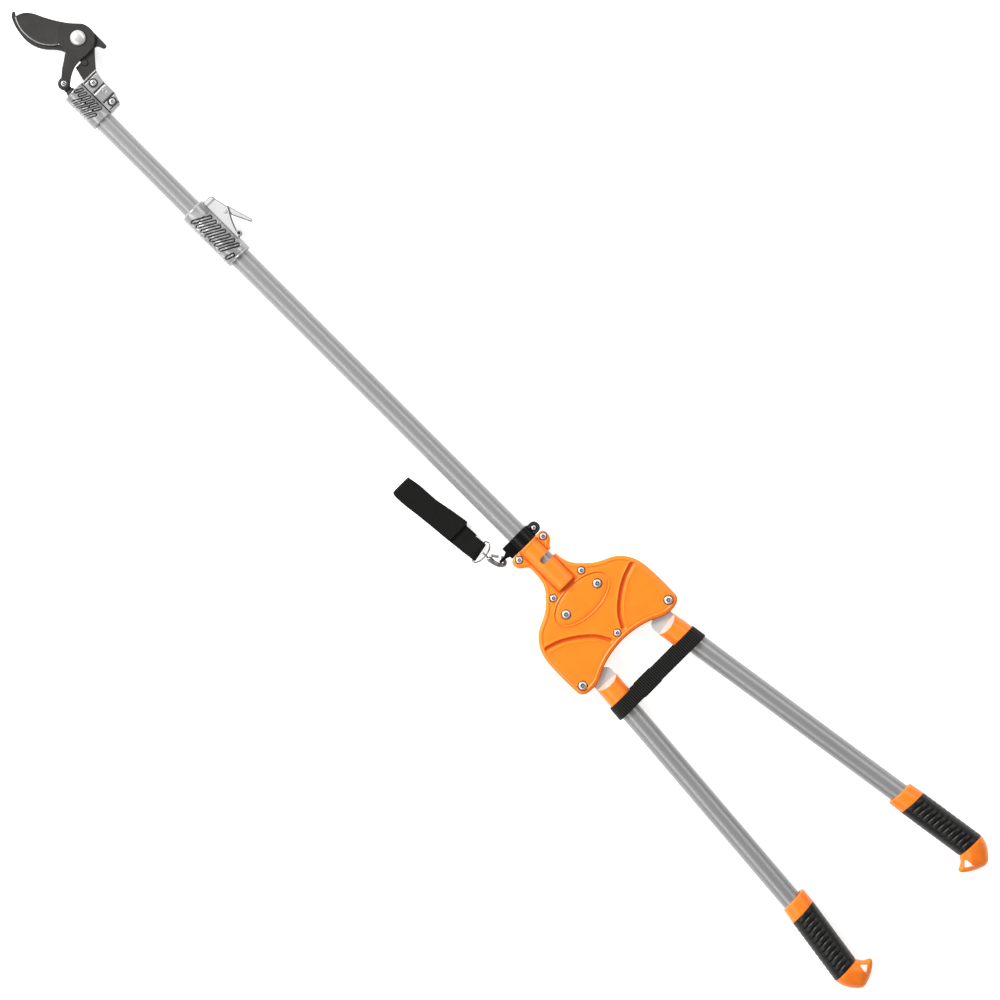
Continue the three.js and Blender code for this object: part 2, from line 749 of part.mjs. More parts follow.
const ARM_SCREW_PROFILE = [
  [-6, 0],
  [-6, 2],
  [4.1, 2],
  [4.1, 3.9],
  [5.2, 3.9],
  [6.2, 2.4],
  [6.5, 0],
];
add("arm_screw", turnedUpright(ARM_SCREW_PROFILE, ...ARM_PIN, 16), "steel");
add(
  "arm_nut",
  cut(post(...ARM_PIN, 4.4, -9.5, -6.3, 6), post(...ARM_PIN, 2 + GAP, -7.9, 0, 16)),
  "steel",
);

// ---------------------------------------------------------------- wrist strap and its fittings

const COLLAR_SCREW = [-109.6, -20.6];
const LUG_X = -110.6;

function strapCollar() {
  const { from, to, radius } = STRAP_COLLAR;
  const body = bar(from, to, radius);
  const shoulder = box([from, to], [8, 26.2], [-8, 8]);
  const ear = join(
    box([from + 1, to - 1.6], [-21, -6], [-6, 6]),
    post(COLLAR_SCREW[0], -21, (to - from - 2.6) / 2, -6, 6, 24),
  );
  const lug = outline(
    [LUG_X - 5, 25],
    [LUG_X - 2.4, 30],
    [LUG_X - 2, 40],
    [LUG_X + 2, 40],
    [LUG_X + 2.4, 30],
    [LUG_X + 5, 25],
  );
  const lugPlate = plate(pointsOf(lug).reverse(), -6, 6);
  const bore = bar(from - 1, to + 1, LOWER_TUBE.outer + GAP);
  const split = box([from - 1, to + 1], [-40, -10], [-0.6, 0.6]);
  const hole = post(...COLLAR_SCREW, 1.7 + GAP, -10, 10, 16);
  const seat = post(...COLLAR_SCREW, 4, 4.4 - GAP, 10, 20);
  const eye = solid(
    new THREE.CylinderGeometry(3.6, 3.6, 20, 16)
      .rotateZ(Math.PI / 2)
      .translate(LUG_X, 35, 0),
  );
  return cut(join(body, shoulder, ear, lugPlate), bore, split, hole, seat, eye);
}
add("strap_collar", strapCollar(), "black");
add("strap_collar_screw", buttonScrew(...COLLAR_SCREW, 1.7, 3.4, 4.4, -5.6, 1.6), "steel");

// The snap hook: a flat hook whose nose goes through the collar's lug, a shank and a swivel.
const SWIVEL = [-91.4, 46.4, 0];

function snapHook() {
  const bend = spline([
    [-106.4, 33.4, 0],
    [-110.6, 34.2, 0],
    [-115, 34.8, 0],
    [-117.2, 37.6, 0],
    [-115.8, 41, 0],
    [-111, 44, 0],
    [-105, 45.8, 0],
    [-98, 46.4, 0],
  ]);
  const head = spline([
    [-99.6, 45.4, 0],
    [-96, 45.6, 0],
  ]);
  return join(wire(bend, 2.2, 16, 8), wire(head, 3, 1, 8));
}
add("snap_hook", snapHook(), "steel");

// The sprung gate that closes the hook's mouth.
const GATE = [
  [-104.4, 36.2, 0],
  [-98, 40.4, 0],
];
add("snap_hook_gate", wire(spline(GATE), 1.5, 1, 8), "steel");

function swivelEye() {
  const eye = solid(new THREE.TorusGeometry(3.4, 1.2, 8, 20).rotateX(Math.PI / 2));
  return eye.translate(SWIVEL);
}
add("swivel_eye", swivelEye(), "steel");

// The D ring lies in the strap's end fold: a straight bar and a bow that passes through the swivel's eye.
function dRing() {
  const bow = spline([
    [-79, 34.6, -9],
    [-83.5, 32.6, -8],
    [-88.6, 36.4, -5],
    [-91.2, 43, -1.6],
    [-91.9, 49, -0.6],
    [-91.6, 56, -2.6],
    [-88.6, 62, -6],
    [-84.6, 63, -8.4],
  ]);
  const straight = spline([
    [-79, 34.6, -9],
    [-84.6, 63, -8.4],
  ]);
  return join(wire(bow, RING_WIRE, 24, 8), wire(straight, RING_WIRE, 1, 8));
}
add("d_ring", dRing(), "steel");

// The wrist strap: a flattened loop of webbing that lies beside the pole.
function wristStrap() {
  const profile = [
    [-85.5, -9],
    [-84.6, -6.4],
    [-80, -6],
    [-58, -9.6],
    [-20, -13],
    [43, -13.6],
    [46.6, -15.6],
    [43, -18],
    [-30, -18],
    [-62, -15.6],
    [-79, -11.4],
    [-84, -11],
  ];
  const loop = slab(profile, [30, 90]);
  const seenFromAbove = outline(
    [-86, 61],
    [-60, 65.2, -30, 67.9],
    [0, 70.6, 20, 73.4],
    [32, 75, 42, 74.6],
    [46.4, 74, 46.6, 70],
    [47, 46],
    [30, 42.2, 1, 41.4],
    [-20, 37, -45, 32.8],
    [-47.5, 37.6],
    [-80.5, 36.8],
  );
  const trimmed = loop.intersect(plate(pointsOf(seenFromAbove).reverse(), -20, 0));
  const barSlot = wire(
    spline([
      [-78.6, 32.6, -9],
      [-85, 65, -8.4],
    ]),
    RING_WIRE + GAP,
    1,
    8,
  );
  return cut(trimmed, barSlot);
}
add("wrist_strap", wristStrap(), "webbing");

// ---------------------------------------------------------------- handles

// Shears a grip's ring planes: points nearer the pole move towards the head.
function slant(made) {
  return made.warp((v) => {
    v[0] += GRIP_SLANT * (v[1] + GRIP_OFFSET);
  });
}

// Turns a piece about the bend in a handle's tube.
function bent(made, { offset, bend }) {
  return made
    .translate([-BEND_AT, offset, 0])
    .rotate([0, 0, bend])
    .translate([BEND_AT, -offset, 0]);
}

// A bar along a handle's tube, bent where the tube is.
function alongTube(handle, from, to, radius) {
  const axis = -handle.offset;
  if (!handle.bend) return bar(from, to, radius, axis);
  const before = bar(from, BEND_AT, radius, axis);
  const after = bent(bar(BEND_AT, to, radius, axis), handle);
  const ball = solid(new THREE.SphereGeometry(radius, TUBE_SIDES, 8))
    .rotate([0, 90, 0])
    .translate([BEND_AT, axis, 0]);
  return join(before, ball, after);
}

// Moves a grip's piece onto its tube and bores it.
function onTube(made, handle, from, to) {
  const moved = made.translate([-handle.back, GRIP_OFFSET - handle.offset, 0]);
  return cut(bent(moved, handle), alongTube(handle, from, to, HANDLE_TUBE.outer + GAP));
}

// The lever's tang, which fits a slot in the ferrule.
const STEM = { to: 40, near: -14.5, far: -36 };

// A lever plate: the toothed sector, the eye on the pivot bolt, and the stem inside the ferrule.
function leverPlate(tilt) {
  const meshDirection = -(Math.PI - MESH_ANGLE + THREE.MathUtils.degToRad(tilt));
  const toothStep = (2 * Math.PI) / SECTOR_TEETH;
  const firstTooth = meshDirection - THREE.MathUtils.degToRad(0.53);
  const points = [new THREE.Vector2(0, 0)];
  const lastTooth = firstTooth - 4 * toothStep;
  const root = SECTOR_RADIUS - DEDENDUM;
  const corner = (angle) => new THREE.Vector2(root * Math.cos(angle), root * Math.sin(angle));
  points.push(corner(lastTooth - 0.62 * toothStep));
  for (let i = 4; i >= 0; i--) {
    points.push(...toothPoints(firstTooth - i * toothStep, SECTOR_TEETH));
  }
  points.push(corner(firstTooth + 0.55 * toothStep));
  const half = GEAR_HALF_THICKNESS;
  const sector = plate(points, -half, half);
  const eye = post(0, 0, 11, -half, half, 28);
  const shoulder = FERRULE.from - GAP;
  const stem = outline(
    [-6, -9],
    [8, -9.6],
    [shoulder, -10],
    [shoulder, STEM.near],
    [STEM.to, STEM.near],
    [STEM.to, STEM.far],
    [shoulder, STEM.far],
    [shoulder, -41],
    [9, -41],
    [0.8, -40.6, -1.8, -31],
    [-4, -20],
  );
  const stemPlate = plate(pointsOf(stem).reverse(), -half, half);
  const bore = post(0, 0, PIVOT_BOLT.shank + GAP, -9, 9);
  return cut(join(sector, eye, stemPlate), bore);
}

// The ferrule joins the lever to the handle tube. Its front is bevelled on both faces.
function ferrule({ offset }) {
  const { from, to, radius } = FERRULE;
  const body = turnedAlongX(
    [
      [from, 0],
      [from, radius],
      [to - 1, radius],
      [to, radius - 1],
      [to, 0],
    ],
    -FERRULE_OFFSET,
  );
  const bevels = [-1, 1].map((side) =>
    slab(
      [
        [from - 2, 3.8 * side],
        [from, 3.8 * side],
        [from + 6.4, 17 * side],
        [from - 2, 17 * side],
      ],
      [-60, 10],
    ),
  );
  const socket = bar(HANDLE_TUBE.from - GAP, to + 1, HANDLE_TUBE.outer + GAP, -offset);
  const half = GEAR_HALF_THICKNESS + GAP;
  const tangSlot = box([from - 5, STEM.to + GAP], [STEM.far - GAP, STEM.near + GAP], [-half, half]);
  return cut(body, ...bevels, socket, tangSlot);
}

function handleTube(handle) {
  const { from, to, outer, inner } = HANDLE_TUBE;
  const pipe = cut(alongTube(handle, from, to, outer), alongTube(handle, from - 1, to + 1, inner));
  const half = GEAR_HALF_THICKNESS + GAP;
  return cut(pipe, box([from - 1, STEM.to + 1], [-60, 10], [-half, half]));
}

function gripCollar(handle) {
  const end = GRIP.from - GAP;
  const { radius } = GRIP;
  const body = turnedAlongX(
    [
      [COLLAR_FROM, 0],
      [COLLAR_FROM, radius - 2],
      [COLLAR_FROM + 1.5, radius - 1],
      [end - 4, radius + 0.1],
      [end, radius + 0.1],
      [end, 0],
    ],
    -GRIP_OFFSET,
  );
  return onTube(slant(body), handle, COLLAR_FROM - 20, end + 20);
}

// The ribbed rubber sleeve.
const GRIP_RINGS = 12;
const GRIP_SIDES = 16;

function grip(handle) {
  const { from, to, radius } = GRIP;
  const profile = [
    [from, 0],
    [from, radius],
  ];
  const pitch = (to - from) / GRIP_RINGS;
  for (let i = 1; i < GRIP_RINGS; i++) {
    const x = from + i * pitch;
    profile.push([x - 0.9, radius], [x, radius - 0.8]);
  }
  profile.push([to, radius], [to, 0]);
  const sleeve = slant(turnedAlongX(profile, -GRIP_OFFSET, 0, GRIP_SIDES));
  return onTube(sleeve, handle, from - 20, to + 20);
}

// The end cap: a plug over the tube's end with an ear for hanging the tool up.
function endCap(handle) {
  const start = GRIP.to + GAP;
  const side = outline(
    [start + 3, -5.4],
    [500, -8, 511, -20],
    [519, -28, 514.5, -36],
    [509, -47, 501, -54.5],
    [494, -61.5, 491, -55.5],
    [490, -48, 485.5, -45],
    [start - 4, -42.2],
  );
  const ear = plate(pointsOf(side), -GRIP.radius, GRIP.radius);
  const taper = turnedAlongX(
    [
      [start - 12, 0],
      [start - 12, GRIP.radius],
      [start + 3, GRIP.radius],
      [start + 14, GRIP.radius - 5],
      [start + 24, GRIP.radius - 8],
      [start + 40, GRIP.radius - 11],
      [start + 40, 0],
    ],
    0,
    0,
    24,
  ).scale([1, 3.4, 1]);
  const slice = slant(box([start, start + 60], [-80, 20], [-30, 30]));
  const hole = plate(
    pointsOf(
      outline(
        [492.3, -41.4],
        [501.6, -41.6],
        [504.6, -42, 503, -44.2],
        [498.2, -49],
        [496.4, -50.6, 495.2, -48.4],
        [491.2, -43.6],
        [490.4, -41.6, 492.3, -41.4],
      ),
    ),
    -30,
    30,
  );
  const cap = cut(ear.intersect(taper.translate([0, -25, 0])).intersect(slice), hole);
  return onTube(cap.translate([0, 0.9, 0]), handle, 470, HANDLE_TUBE.to + GAP);
}

const HANDLE_PIECES = [
  { name: "ferrule", make: ferrule, colour: "orange" },
  { name: "handle_tube", make: handleTube, colour: "tube" },
  { name: "grip_collar", make: gripCollar, colour: "orange" },
  { name: "grip", make: grip, colour: "black" },
  { name: "end_cap", make: endCap, colour: "orange" },
];

for (const side of ["right", "left"]) {
  const handle = new THREE.Group();
  const sign = side === "right" ? -1 : 1;
  const { tilt } = HANDLES[side];
  handle.position.set(LEVER_PIVOT_X, sign * LEVER_PIVOT_Y, 0);
  handle.rotation.z = Math.PI - sign * THREE.MathUtils.degToRad(tilt);
  handle.scale.y = -sign;
  add("lever_" + side, leverPlate(tilt), "lever", handle);
  for (const { name, make, colour } of HANDLE_PIECES) {
    add(name + "_" + side, make(HANDLES[side]), colour, handle);
  }
  parts.add(handle);
}

// The band that holds the two handles together, in two halves that meet over the pole's axis.
const BAND = { from: -356.8, to: -336.9, inner: 16.5, thickness: 1.5 };

function bandHalf(side, centre) {
  const { from, to, inner, thickness } = BAND;
  const sign = Math.sign(centre);
  const loop = (radius, over) =>
    join(
      bar(from - over, to + over, radius, centre),
      box([from - over, to + over], [Math.min(0, centre), Math.max(0, centre)], [-radius, radius]),
    );
  const half = [GAP / 2, 100].map((y) => y * sign).sort((a, b) => a - b);
  const band = cut(loop(inner + thickness, 0), loop(inner, 1));
  const slope = sign * Math.tan(THREE.MathUtils.degToRad(HANDLES[side].tilt));
  const middle = (from + to) / 2;
  return band.intersect(box([from - 5, to + 5], half, [-30, 30])).warp((v) => {
    if (Math.abs(v[1]) > 20) v[1] -= slope * (v[0] - middle);
  });
}
add("handle_band_right", bandHalf("right", -57.9), "webbing");
add("handle_band_left", bandHalf("left", 54.7), "webbing");

// ---------------------------------------------------------------- the whole tool

const tool = new THREE.Group();
parts.position.set(...ORIGIN_SHIFT);
tool.add(parts);

export default tool;
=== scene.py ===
"""A long-reach bypass lopper with a telescoping pole, seen from straight above on a white floor.

Points are in millimetres in the tool's own frame, as the CAD source has them: X along the pole towards the
head, z 0 in the middle of the tool's thickness. at() turns them into the metres of the CAD frame.
"""

import math

import bmesh
import bpy
import numpy as np
from mathutils import Matrix, Vector
from mathutils.geometry import delaunay_2d_cdt


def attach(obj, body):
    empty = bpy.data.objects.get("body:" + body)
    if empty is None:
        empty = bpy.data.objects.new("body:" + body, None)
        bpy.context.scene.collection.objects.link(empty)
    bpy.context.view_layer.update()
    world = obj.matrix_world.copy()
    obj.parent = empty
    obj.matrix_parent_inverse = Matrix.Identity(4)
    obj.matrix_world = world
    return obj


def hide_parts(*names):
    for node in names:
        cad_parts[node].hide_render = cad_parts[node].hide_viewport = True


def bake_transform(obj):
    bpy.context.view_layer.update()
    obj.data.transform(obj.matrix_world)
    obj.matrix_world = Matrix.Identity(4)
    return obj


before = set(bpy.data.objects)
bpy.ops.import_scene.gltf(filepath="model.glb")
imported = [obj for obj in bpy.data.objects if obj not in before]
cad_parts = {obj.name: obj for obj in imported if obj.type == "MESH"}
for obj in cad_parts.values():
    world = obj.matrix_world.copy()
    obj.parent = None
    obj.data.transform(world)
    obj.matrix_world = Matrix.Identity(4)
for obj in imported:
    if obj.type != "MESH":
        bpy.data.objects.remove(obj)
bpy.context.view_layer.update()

SHIFT = np.array([0.0, 15.4, 18.3])  # the tool's own zero in the CAD frame, mm


def at(points):
    return (np.asarray(points, float) + SHIFT) / 1000


# ---------------------------------------------------------------- camera, floor and light

FRAME_WIDTH = 1.25  # metres of the floor that the picture spans
CAMERA_HEIGHT = 6.0
LOOK_AT = (-55.4, -15.25, 0)

camera_data = bpy.data.cameras.new("camera")
camera_data.sensor_width = 36
camera_data.lens = 36 * CAMERA_HEIGHT / FRAME_WIDTH
camera_data.clip_end = 100
camera = bpy.data.objects.new("camera", camera_data)
camera.location = Vector(at(LOOK_AT)) + Vector((0, 0, CAMERA_HEIGHT))
camera.rotation_euler = (0, 0, math.radians(-135))
bpy.context.scene.collection.objects.link(camera)
bpy.context.scene.camera = camera
bpy.context.scene.view_settings.view_transform = "Standard"


def area_light(name, place, size, power):
    data = bpy.data.lights.new(name, "AREA")
    data.shape = "RECTANGLE"
    data.size, data.size_y = size
    data.energy = power
    light = bpy.data.objects.new(name, data)
    light.location = place
    light.rotation_euler = (-Vector(place)).to_track_quat("-Z", "Y").to_euler()
    bpy.context.scene.collection.objects.link(light)


area_light("key_light", (3.2, 0.6, 2.3), (0.9, 1.8), 225)
area_light("left_strip", (0.2, 2.5, 2.4), (3.8, 0.8), 58)
area_light("right_strip", (0.2, -2.5, 2.4), (3.8, 0.8), 50)

world = bpy.data.worlds.new("studio")
world.use_nodes = True
world.node_tree.nodes["Background"].inputs["Color"].default_value = (1, 1, 1, 1)
world.node_tree.nodes["Background"].inputs["Strength"].default_value = 0.3
bpy.context.scene.world = world


# ---------------------------------------------------------------- materials


def material(
    name, dark, light, rough, metallic=0.0, grain=900, bump=0.00003, stretch=None, shine=0.5, glow=0.0
):
    """A surface whose colour wanders between two shades. A bump also grains its relief and its gloss."""
    made = bpy.data.materials.new(name)
    made.use_nodes = True
    nodes, links = made.node_tree.nodes, made.node_tree.links
    shader = nodes["Principled BSDF"]
    shader.inputs["Metallic"].default_value = metallic
    shader.inputs["Roughness"].default_value = rough
    shader.inputs["Specular IOR Level"].default_value = shine
    shader.inputs["Emission Color"].default_value = (1, 1, 1, 1)
    shader.inputs["Emission Strength"].default_value = glow
    place = nodes.new("ShaderNodeTexCoord")
    mapping = nodes.new("ShaderNodeMapping")
    links.new(place.outputs["Object"], mapping.inputs["Vector"])
    if stretch:
        mapping.inputs["Scale"].default_value = stretch

    def noise(scale, detail):
        made_noise = nodes.new("ShaderNodeTexNoise")
        made_noise.inputs["Scale"].default_value = scale
        made_noise.inputs["Detail"].default_value = detail
        links.new(mapping.outputs["Vector"], made_noise.inputs["Vector"])
        return made_noise

    shades = nodes.new("ShaderNodeValToRGB")
    for stop, position, shade in zip(shades.color_ramp.elements, (0.35, 0.65), (dark, light)):
        stop.position = position
        stop.color = (*shade, 1)
    links.new(noise(grain * 0.06, 4).outputs["Fac"], shades.inputs["Fac"])
    links.new(shades.outputs["Color"], shader.inputs["Base Color"])
    if not bump:
        return made
    fine = noise(grain, 3)
    gloss = nodes.new("ShaderNodeMapRange")
    gloss.inputs["To Min"].default_value = rough - 0.06
    gloss.inputs["To Max"].default_value = rough + 0.06
    links.new(fine.outputs["Fac"], gloss.inputs["Value"])
    links.new(gloss.outputs["Result"], shader.inputs["Roughness"])
    bumps = nodes.new("ShaderNodeBump")
    bumps.inputs["Strength"].default_value = 0.6
    bumps.inputs["Distance"].default_value = bump
    links.new(fine.outputs["Fac"], bumps.inputs["Height"])
    links.new(bumps.outputs["Normal"], shader.inputs["Normal"])
    return made


RIBS_AT_SCALE_1 = 3.18  # ribs in a metre of a wave texture whose scale is 1


def webbing(name, dark, light, turn, pitch=1.6):
    """Woven tape with a sheen: ribs along and across it replace the cloudy colour and the grain."""
    made = material(name, dark, light, 0.82, grain=1400, shine=0.1)
    nodes, links = made.node_tree.nodes, made.node_tree.links
    nodes["Principled BSDF"].inputs["Sheen Weight"].default_value = 0.06
    mapping = nodes.new("ShaderNodeMapping")
    mapping.inputs["Rotation"].default_value = (0, 0, math.radians(turn))
    links.new(nodes["Texture Coordinate"].outputs["Object"], mapping.inputs["Vector"])
    weave = nodes.new("ShaderNodeMath")
    weave.operation = "MULTIPLY"
    for into, axis, size in zip(weave.inputs, "XY", (pitch, pitch * 1.5)):
        wave = nodes.new("ShaderNodeTexWave")
        wave.bands_direction = axis
        wave.inputs["Scale"].default_value = 1000 / size / RIBS_AT_SCALE_1
        wave.inputs["Distortion"].default_value = 0.4
        links.new(mapping.outputs["Vector"], wave.inputs["Vector"])
        links.new(wave.outputs["Fac"], into)
    nodes.remove(nodes["Noise Texture"])
    links.new(wave.outputs["Fac"], nodes["Color Ramp"].inputs["Fac"])
    bumps = nodes["Bump"]
    bumps.inputs["Strength"].default_value = 0.9
    bumps.inputs["Distance"].default_value = 0.0003
    links.new(weave.outputs["Value"], bumps.inputs["Height"])
    return made


def grey(level):
    return (level, level, level)


def plastic(name, dark, light, rough, shine=0.3, bump=0.00004):
    return material(name, dark, light, rough, grain=1100, bump=bump, shine=shine)


ORANGE = plastic("orange_plastic", (0.94, 0.200, 0.012), (0.98, 0.215, 0.015), 0.36)
ORANGE_SHADE = plastic("orange_painted_shade", (0.72, 0.135, 0.009), (0.78, 0.150, 0.011), 0.4)
ORANGE_DEEP_SHADE = plastic("orange_painted_deep_shade", (0.58, 0.078, 0.004), (0.64, 0.092, 0.006), 0.45, 0.2)
PAINTED_SCREW_SHADOW = plastic("screw_painted_shadow", (0.10, 0.022, 0.006), (0.16, 0.035, 0.008), 0.6, 0.1, 0.00003)
BEVEL = plastic("bevel_painted_highlight", (0.62, 0.43, 0.36), (0.68, 0.50, 0.43), 0.5)
GREY_BLACK = plastic("grey_plastic", grey(0.018), grey(0.026), 0.42, bump=0.00003)
BLACK = plastic("black_plastic", grey(0.001), grey(0.003), 0.34, 0.16, 0.00003)
RUBBER = material("grip_rubber", grey(0.002), (0.006, 0.006, 0.005), 0.42, grain=700, bump=0.0001, shine=0.3)
TUBE = material("pole_aluminium", grey(0.25), grey(0.27), 0.38, 0.35, 1500, 0.0, stretch=(0.03, 1, 1))
CAST = material("cast_aluminium", grey(0.19), grey(0.34), 0.28, 0.25, 700, 0.00012)
CAST_SHADE = material("cast_painted_shade", grey(0.010), grey(0.030), 0.6, 0.2, 700, 0.00014)
PALE = material("pale_aluminium", (0.46, 0.465, 0.46), (0.51, 0.515, 0.51), 0.45, 0.2, 900, 0.00004, shine=0.4)
DARK_STEEL_AND_EDGE_SHADE = material("dark_steel_and_painted_edge_shade", grey(0.018), grey(0.035), 0.5, 0.3)
COATED = material(
    "coated_steel", (0.014, 0.0133, 0.0125), (0.021, 0.0195, 0.018), 0.5, grain=800, bump=0.00008, shine=0.3
)
GROUND = material("ground_edge", grey(0.22), grey(0.32), 0.34, 0.5, 1500)
BRIGHT = material("bright_steel", grey(0.52), grey(0.70), 0.30, 0.6)
HOOK = material("hook_steel", grey(0.05), grey(0.24), 0.24, 0.3, 3000, 0.00006, shine=0.4)
GEAR = material("gear_steel", (0.30, 0.30, 0.31), (0.42, 0.42, 0.43), 0.4, 1.0, 900, 0.00004)
BRASS = material("brass", (0.60, 0.42, 0.14), (0.72, 0.52, 0.20), 0.35, 1.0, 900, 0.00004)
SOCKET_SHADE = material("screw_socket_painted_shade", grey(0.02), grey(0.06), 0.4, 0.6)
STRAP = webbing("black_webbing", grey(0.002), (0.010, 0.010, 0.009), 8)
BAND = webbing("band_webbing", grey(0.001), (0.020, 0.020, 0.018), 0, 1.95)
FLOOR = material("floor", grey(0.78), grey(0.80), 0.9, grain=40, bump=0.00001, shine=0.0, glow=0.62)

FLOOR_HALF = 30
FLOOR_Z = -0.0005
floor_mesh = bpy.data.meshes.new("floor")
corners = [(x * FLOOR_HALF, y * FLOOR_HALF, FLOOR_Z) for x, y in ((-1, -1), (1, -1), (1, 1), (-1, 1))]
floor_mesh.from_pydata(corners, [], [(0, 1, 2, 3)])
floor_mesh.materials.append(FLOOR)
floor = bpy.data.objects.new("floor", floor_mesh)
bpy.context.scene.collection.objects.link(floor)


# ---------------------------------------------------------------- outlines


def path(start, *edges, steps=8):
    """Points along lines (2 numbers), quadratic curves (4) and cubic curves (6), as the CAD source has them."""
    points = [np.array(start, float)]
    for edge in edges:
        knots = [points[-1]] + [np.array(edge[i : i + 2], float) for i in range(0, len(edge), 2)]
        degree = len(knots) - 1
        count = 1 if degree == 1 else steps
        for k in range(1, count + 1):
            t = k / count
            points.append(
                sum(math.comb(degree, i) * (1 - t) ** (degree - i) * t**i * p for i, p in enumerate(knots))
            )
    return np.array(points)


def curve(points, steps):
    """A smooth line through some points."""
    p = np.array(points, float)
    q = np.concatenate([2 * p[:1] - p[1:2], p, 2 * p[-1:] - p[-2:-1]])
    out = []
    for i in range(1, len(q) - 2):
        a, b, c, d = q[i - 1 : i + 3]
        for t in np.linspace(0, 1, steps, endpoint=False):
            out.append(
                0.5 * (2 * b + (c - a) * t + (2 * a - 5 * b + 4 * c - d) * t**2 + (3 * b - a - 3 * c + d) * t**3)
            )
    out.append(q[-2])
    return np.array(out)


def refine(points, step, closed=True):
    """The same outline with no side longer than step, and its corners kept."""
    out = []
    following = np.roll(points, -1, axis=0) if closed else points[1:]
    for a, b in zip(points, following):
        count = max(1, math.ceil(np.linalg.norm(b - a) / step))
        out.extend(a + (b - a) * k / count for k in range(count))
    if not closed:
        out.append(points[-1])
    out = np.array(out)
    keep = np.linalg.norm(out - np.roll(out, 1, axis=0), axis=1) > 1e-4
    return out[keep]


def area_of(points):
    x, y = points[:, 0], points[:, 1]
    return 0.5 * float(np.sum(x * np.roll(y, -1) - np.roll(x, -1) * y))


def anticlockwise(points):
    return points if area_of(points) > 0 else points[::-1]


def distance(points, line, closed=False):
    """How far each point is from a line."""
    a = line if closed else line[:-1]
    b = np.roll(line, -1, axis=0) if closed else line[1:]
    best = np.full(len(points), 1e9)
    for p, q in zip(a, b):
        along = q - p
        t = np.clip(((points - p) @ along) / max(along @ along, 1e-12), 0, 1)
        best = np.minimum(best, np.linalg.norm(points - p - t[:, None] * along, axis=1))
    return best


def inside(points, outline):
    x, y = points[:, 0], points[:, 1]
    result = np.zeros(len(points), bool)
    for (x1, y1), (x2, y2) in zip(outline, np.roll(outline, -1, axis=0)):
        if y1 == y2:
            continue
        result ^= ((y1 > y) != (y2 > y)) & (x < (x2 - x1) * (y - y1) / (y2 - y1) + x1)
    return result


def shifted(points, by, closed=True):
    """An outline moved sideways: inwards for an anticlockwise one."""
    if closed:
        along = np.roll(points, -1, axis=0) - np.roll(points, 1, axis=0)
    else:
        along = np.gradient(points, axis=0)
    normal = np.stack([-along[:, 1], along[:, 0]], axis=1)
    return points + by * normal / np.maximum(np.linalg.norm(normal, axis=1), 1e-9)[:, None]


def circle(x, y, radius, sides=40, squash=1.0):
    turn = np.linspace(0, 2 * math.pi, sides, endpoint=False)
    return np.stack([x + radius * np.cos(turn), y + radius * squash * np.sin(turn)], axis=1)


def ease(low, high, value):
    t = np.clip((value - low) / (high - low), 0, 1)
    return t * t * (3 - 2 * t)


def rounding(d, radius):
    """How far a rounded edge has dropped at distance d from the outline."""
    near = np.clip(d, 0, radius)
    return radius - np.sqrt(np.maximum(radius**2 - (radius - near) ** 2, 0))


# ---------------------------------------------------------------- meshes


def finish_mesh(name, mesh, finish, smooth=35):
    work = bmesh.new()
    work.from_mesh(mesh)
    bmesh.ops.remove_doubles(work, verts=work.verts, dist=1e-6)
    bmesh.ops.dissolve_degenerate(work, edges=work.edges, dist=1e-7)
    bmesh.ops.recalc_face_normals(work, faces=work.faces)
    work.to_mesh(mesh)
    work.free()
    mesh.shade_smooth()
    mesh.set_sharp_from_angle(angle=math.radians(smooth))
    piece = bpy.data.objects.new(name + "_skin", mesh)
    bpy.context.scene.collection.objects.link(piece)
    if finish:
        mesh.materials.append(finish)
    return piece


def mesh_piece(name, points, faces, finish=None, smooth=35):
    mesh = bpy.data.meshes.new(name + "_skin")
    mesh.from_pydata(at(points).tolist(), [], [tuple(int(i) for i in f) for f in faces])
    return finish_mesh(name, mesh, finish, smooth)


def paint(piece, finish, chosen):
    """Gives the faces whose middles are chosen a second finish."""
    piece.data.materials.append(finish)
    index = len(piece.data.materials) - 1
    count = len(piece.data.polygons)
    middles = np.empty(count * 3)
    piece.data.polygons.foreach_get("center", middles)
    normals = np.empty(count * 3)
    piece.data.polygons.foreach_get("normal", normals)
    hit = chosen(middles.reshape(-1, 3) * 1000 - SHIFT, normals.reshape(-1, 3))
    slots = np.zeros(count, dtype=np.int32)
    piece.data.polygons.foreach_get("material_index", slots)
    slots[hit] = index
    piece.data.polygons.foreach_set("material_index", slots)
    return piece


def place(piece, body, *nodes):
    """The piece rides on its body and stands for its CAD nodes."""
    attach(piece, body)
    if nodes:
        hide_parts(*nodes)
    return piece


def combine(piece, tool, how="DIFFERENCE"):
    """Cuts a tool from a piece or joins it on, and throws the tool away."""
    modifier = piece.modifiers.new("combine", "BOOLEAN")
    modifier.operation = how
    modifier.solver = "EXACT"
    modifier.object = tool
    result = bpy.data.meshes.new_from_object(piece.evaluated_get(bpy.context.evaluated_depsgraph_get()))
    piece.modifiers.clear()
    old = piece.data
    piece.data = result
    result.name = piece.name
    bpy.data.meshes.remove(old)
    bpy.data.objects.remove(tool)
    return piece


def sharpen(piece, smooth=35):
    """Tidies a piece's mesh after it was cut."""
    work = bmesh.new()
    work.from_mesh(piece.data)
    bmesh.ops.remove_doubles(work, verts=work.verts, dist=2e-6)
    bmesh.ops.dissolve_degenerate(work, edges=work.edges, dist=1e-6)
    work.to_mesh(piece.data)
    work.free()
    piece.data.shade_smooth()
    piece.data.set_sharp_from_angle(angle=math.radians(smooth))
    return piece


def level(z):
    return lambda p: np.full(len(p), z)


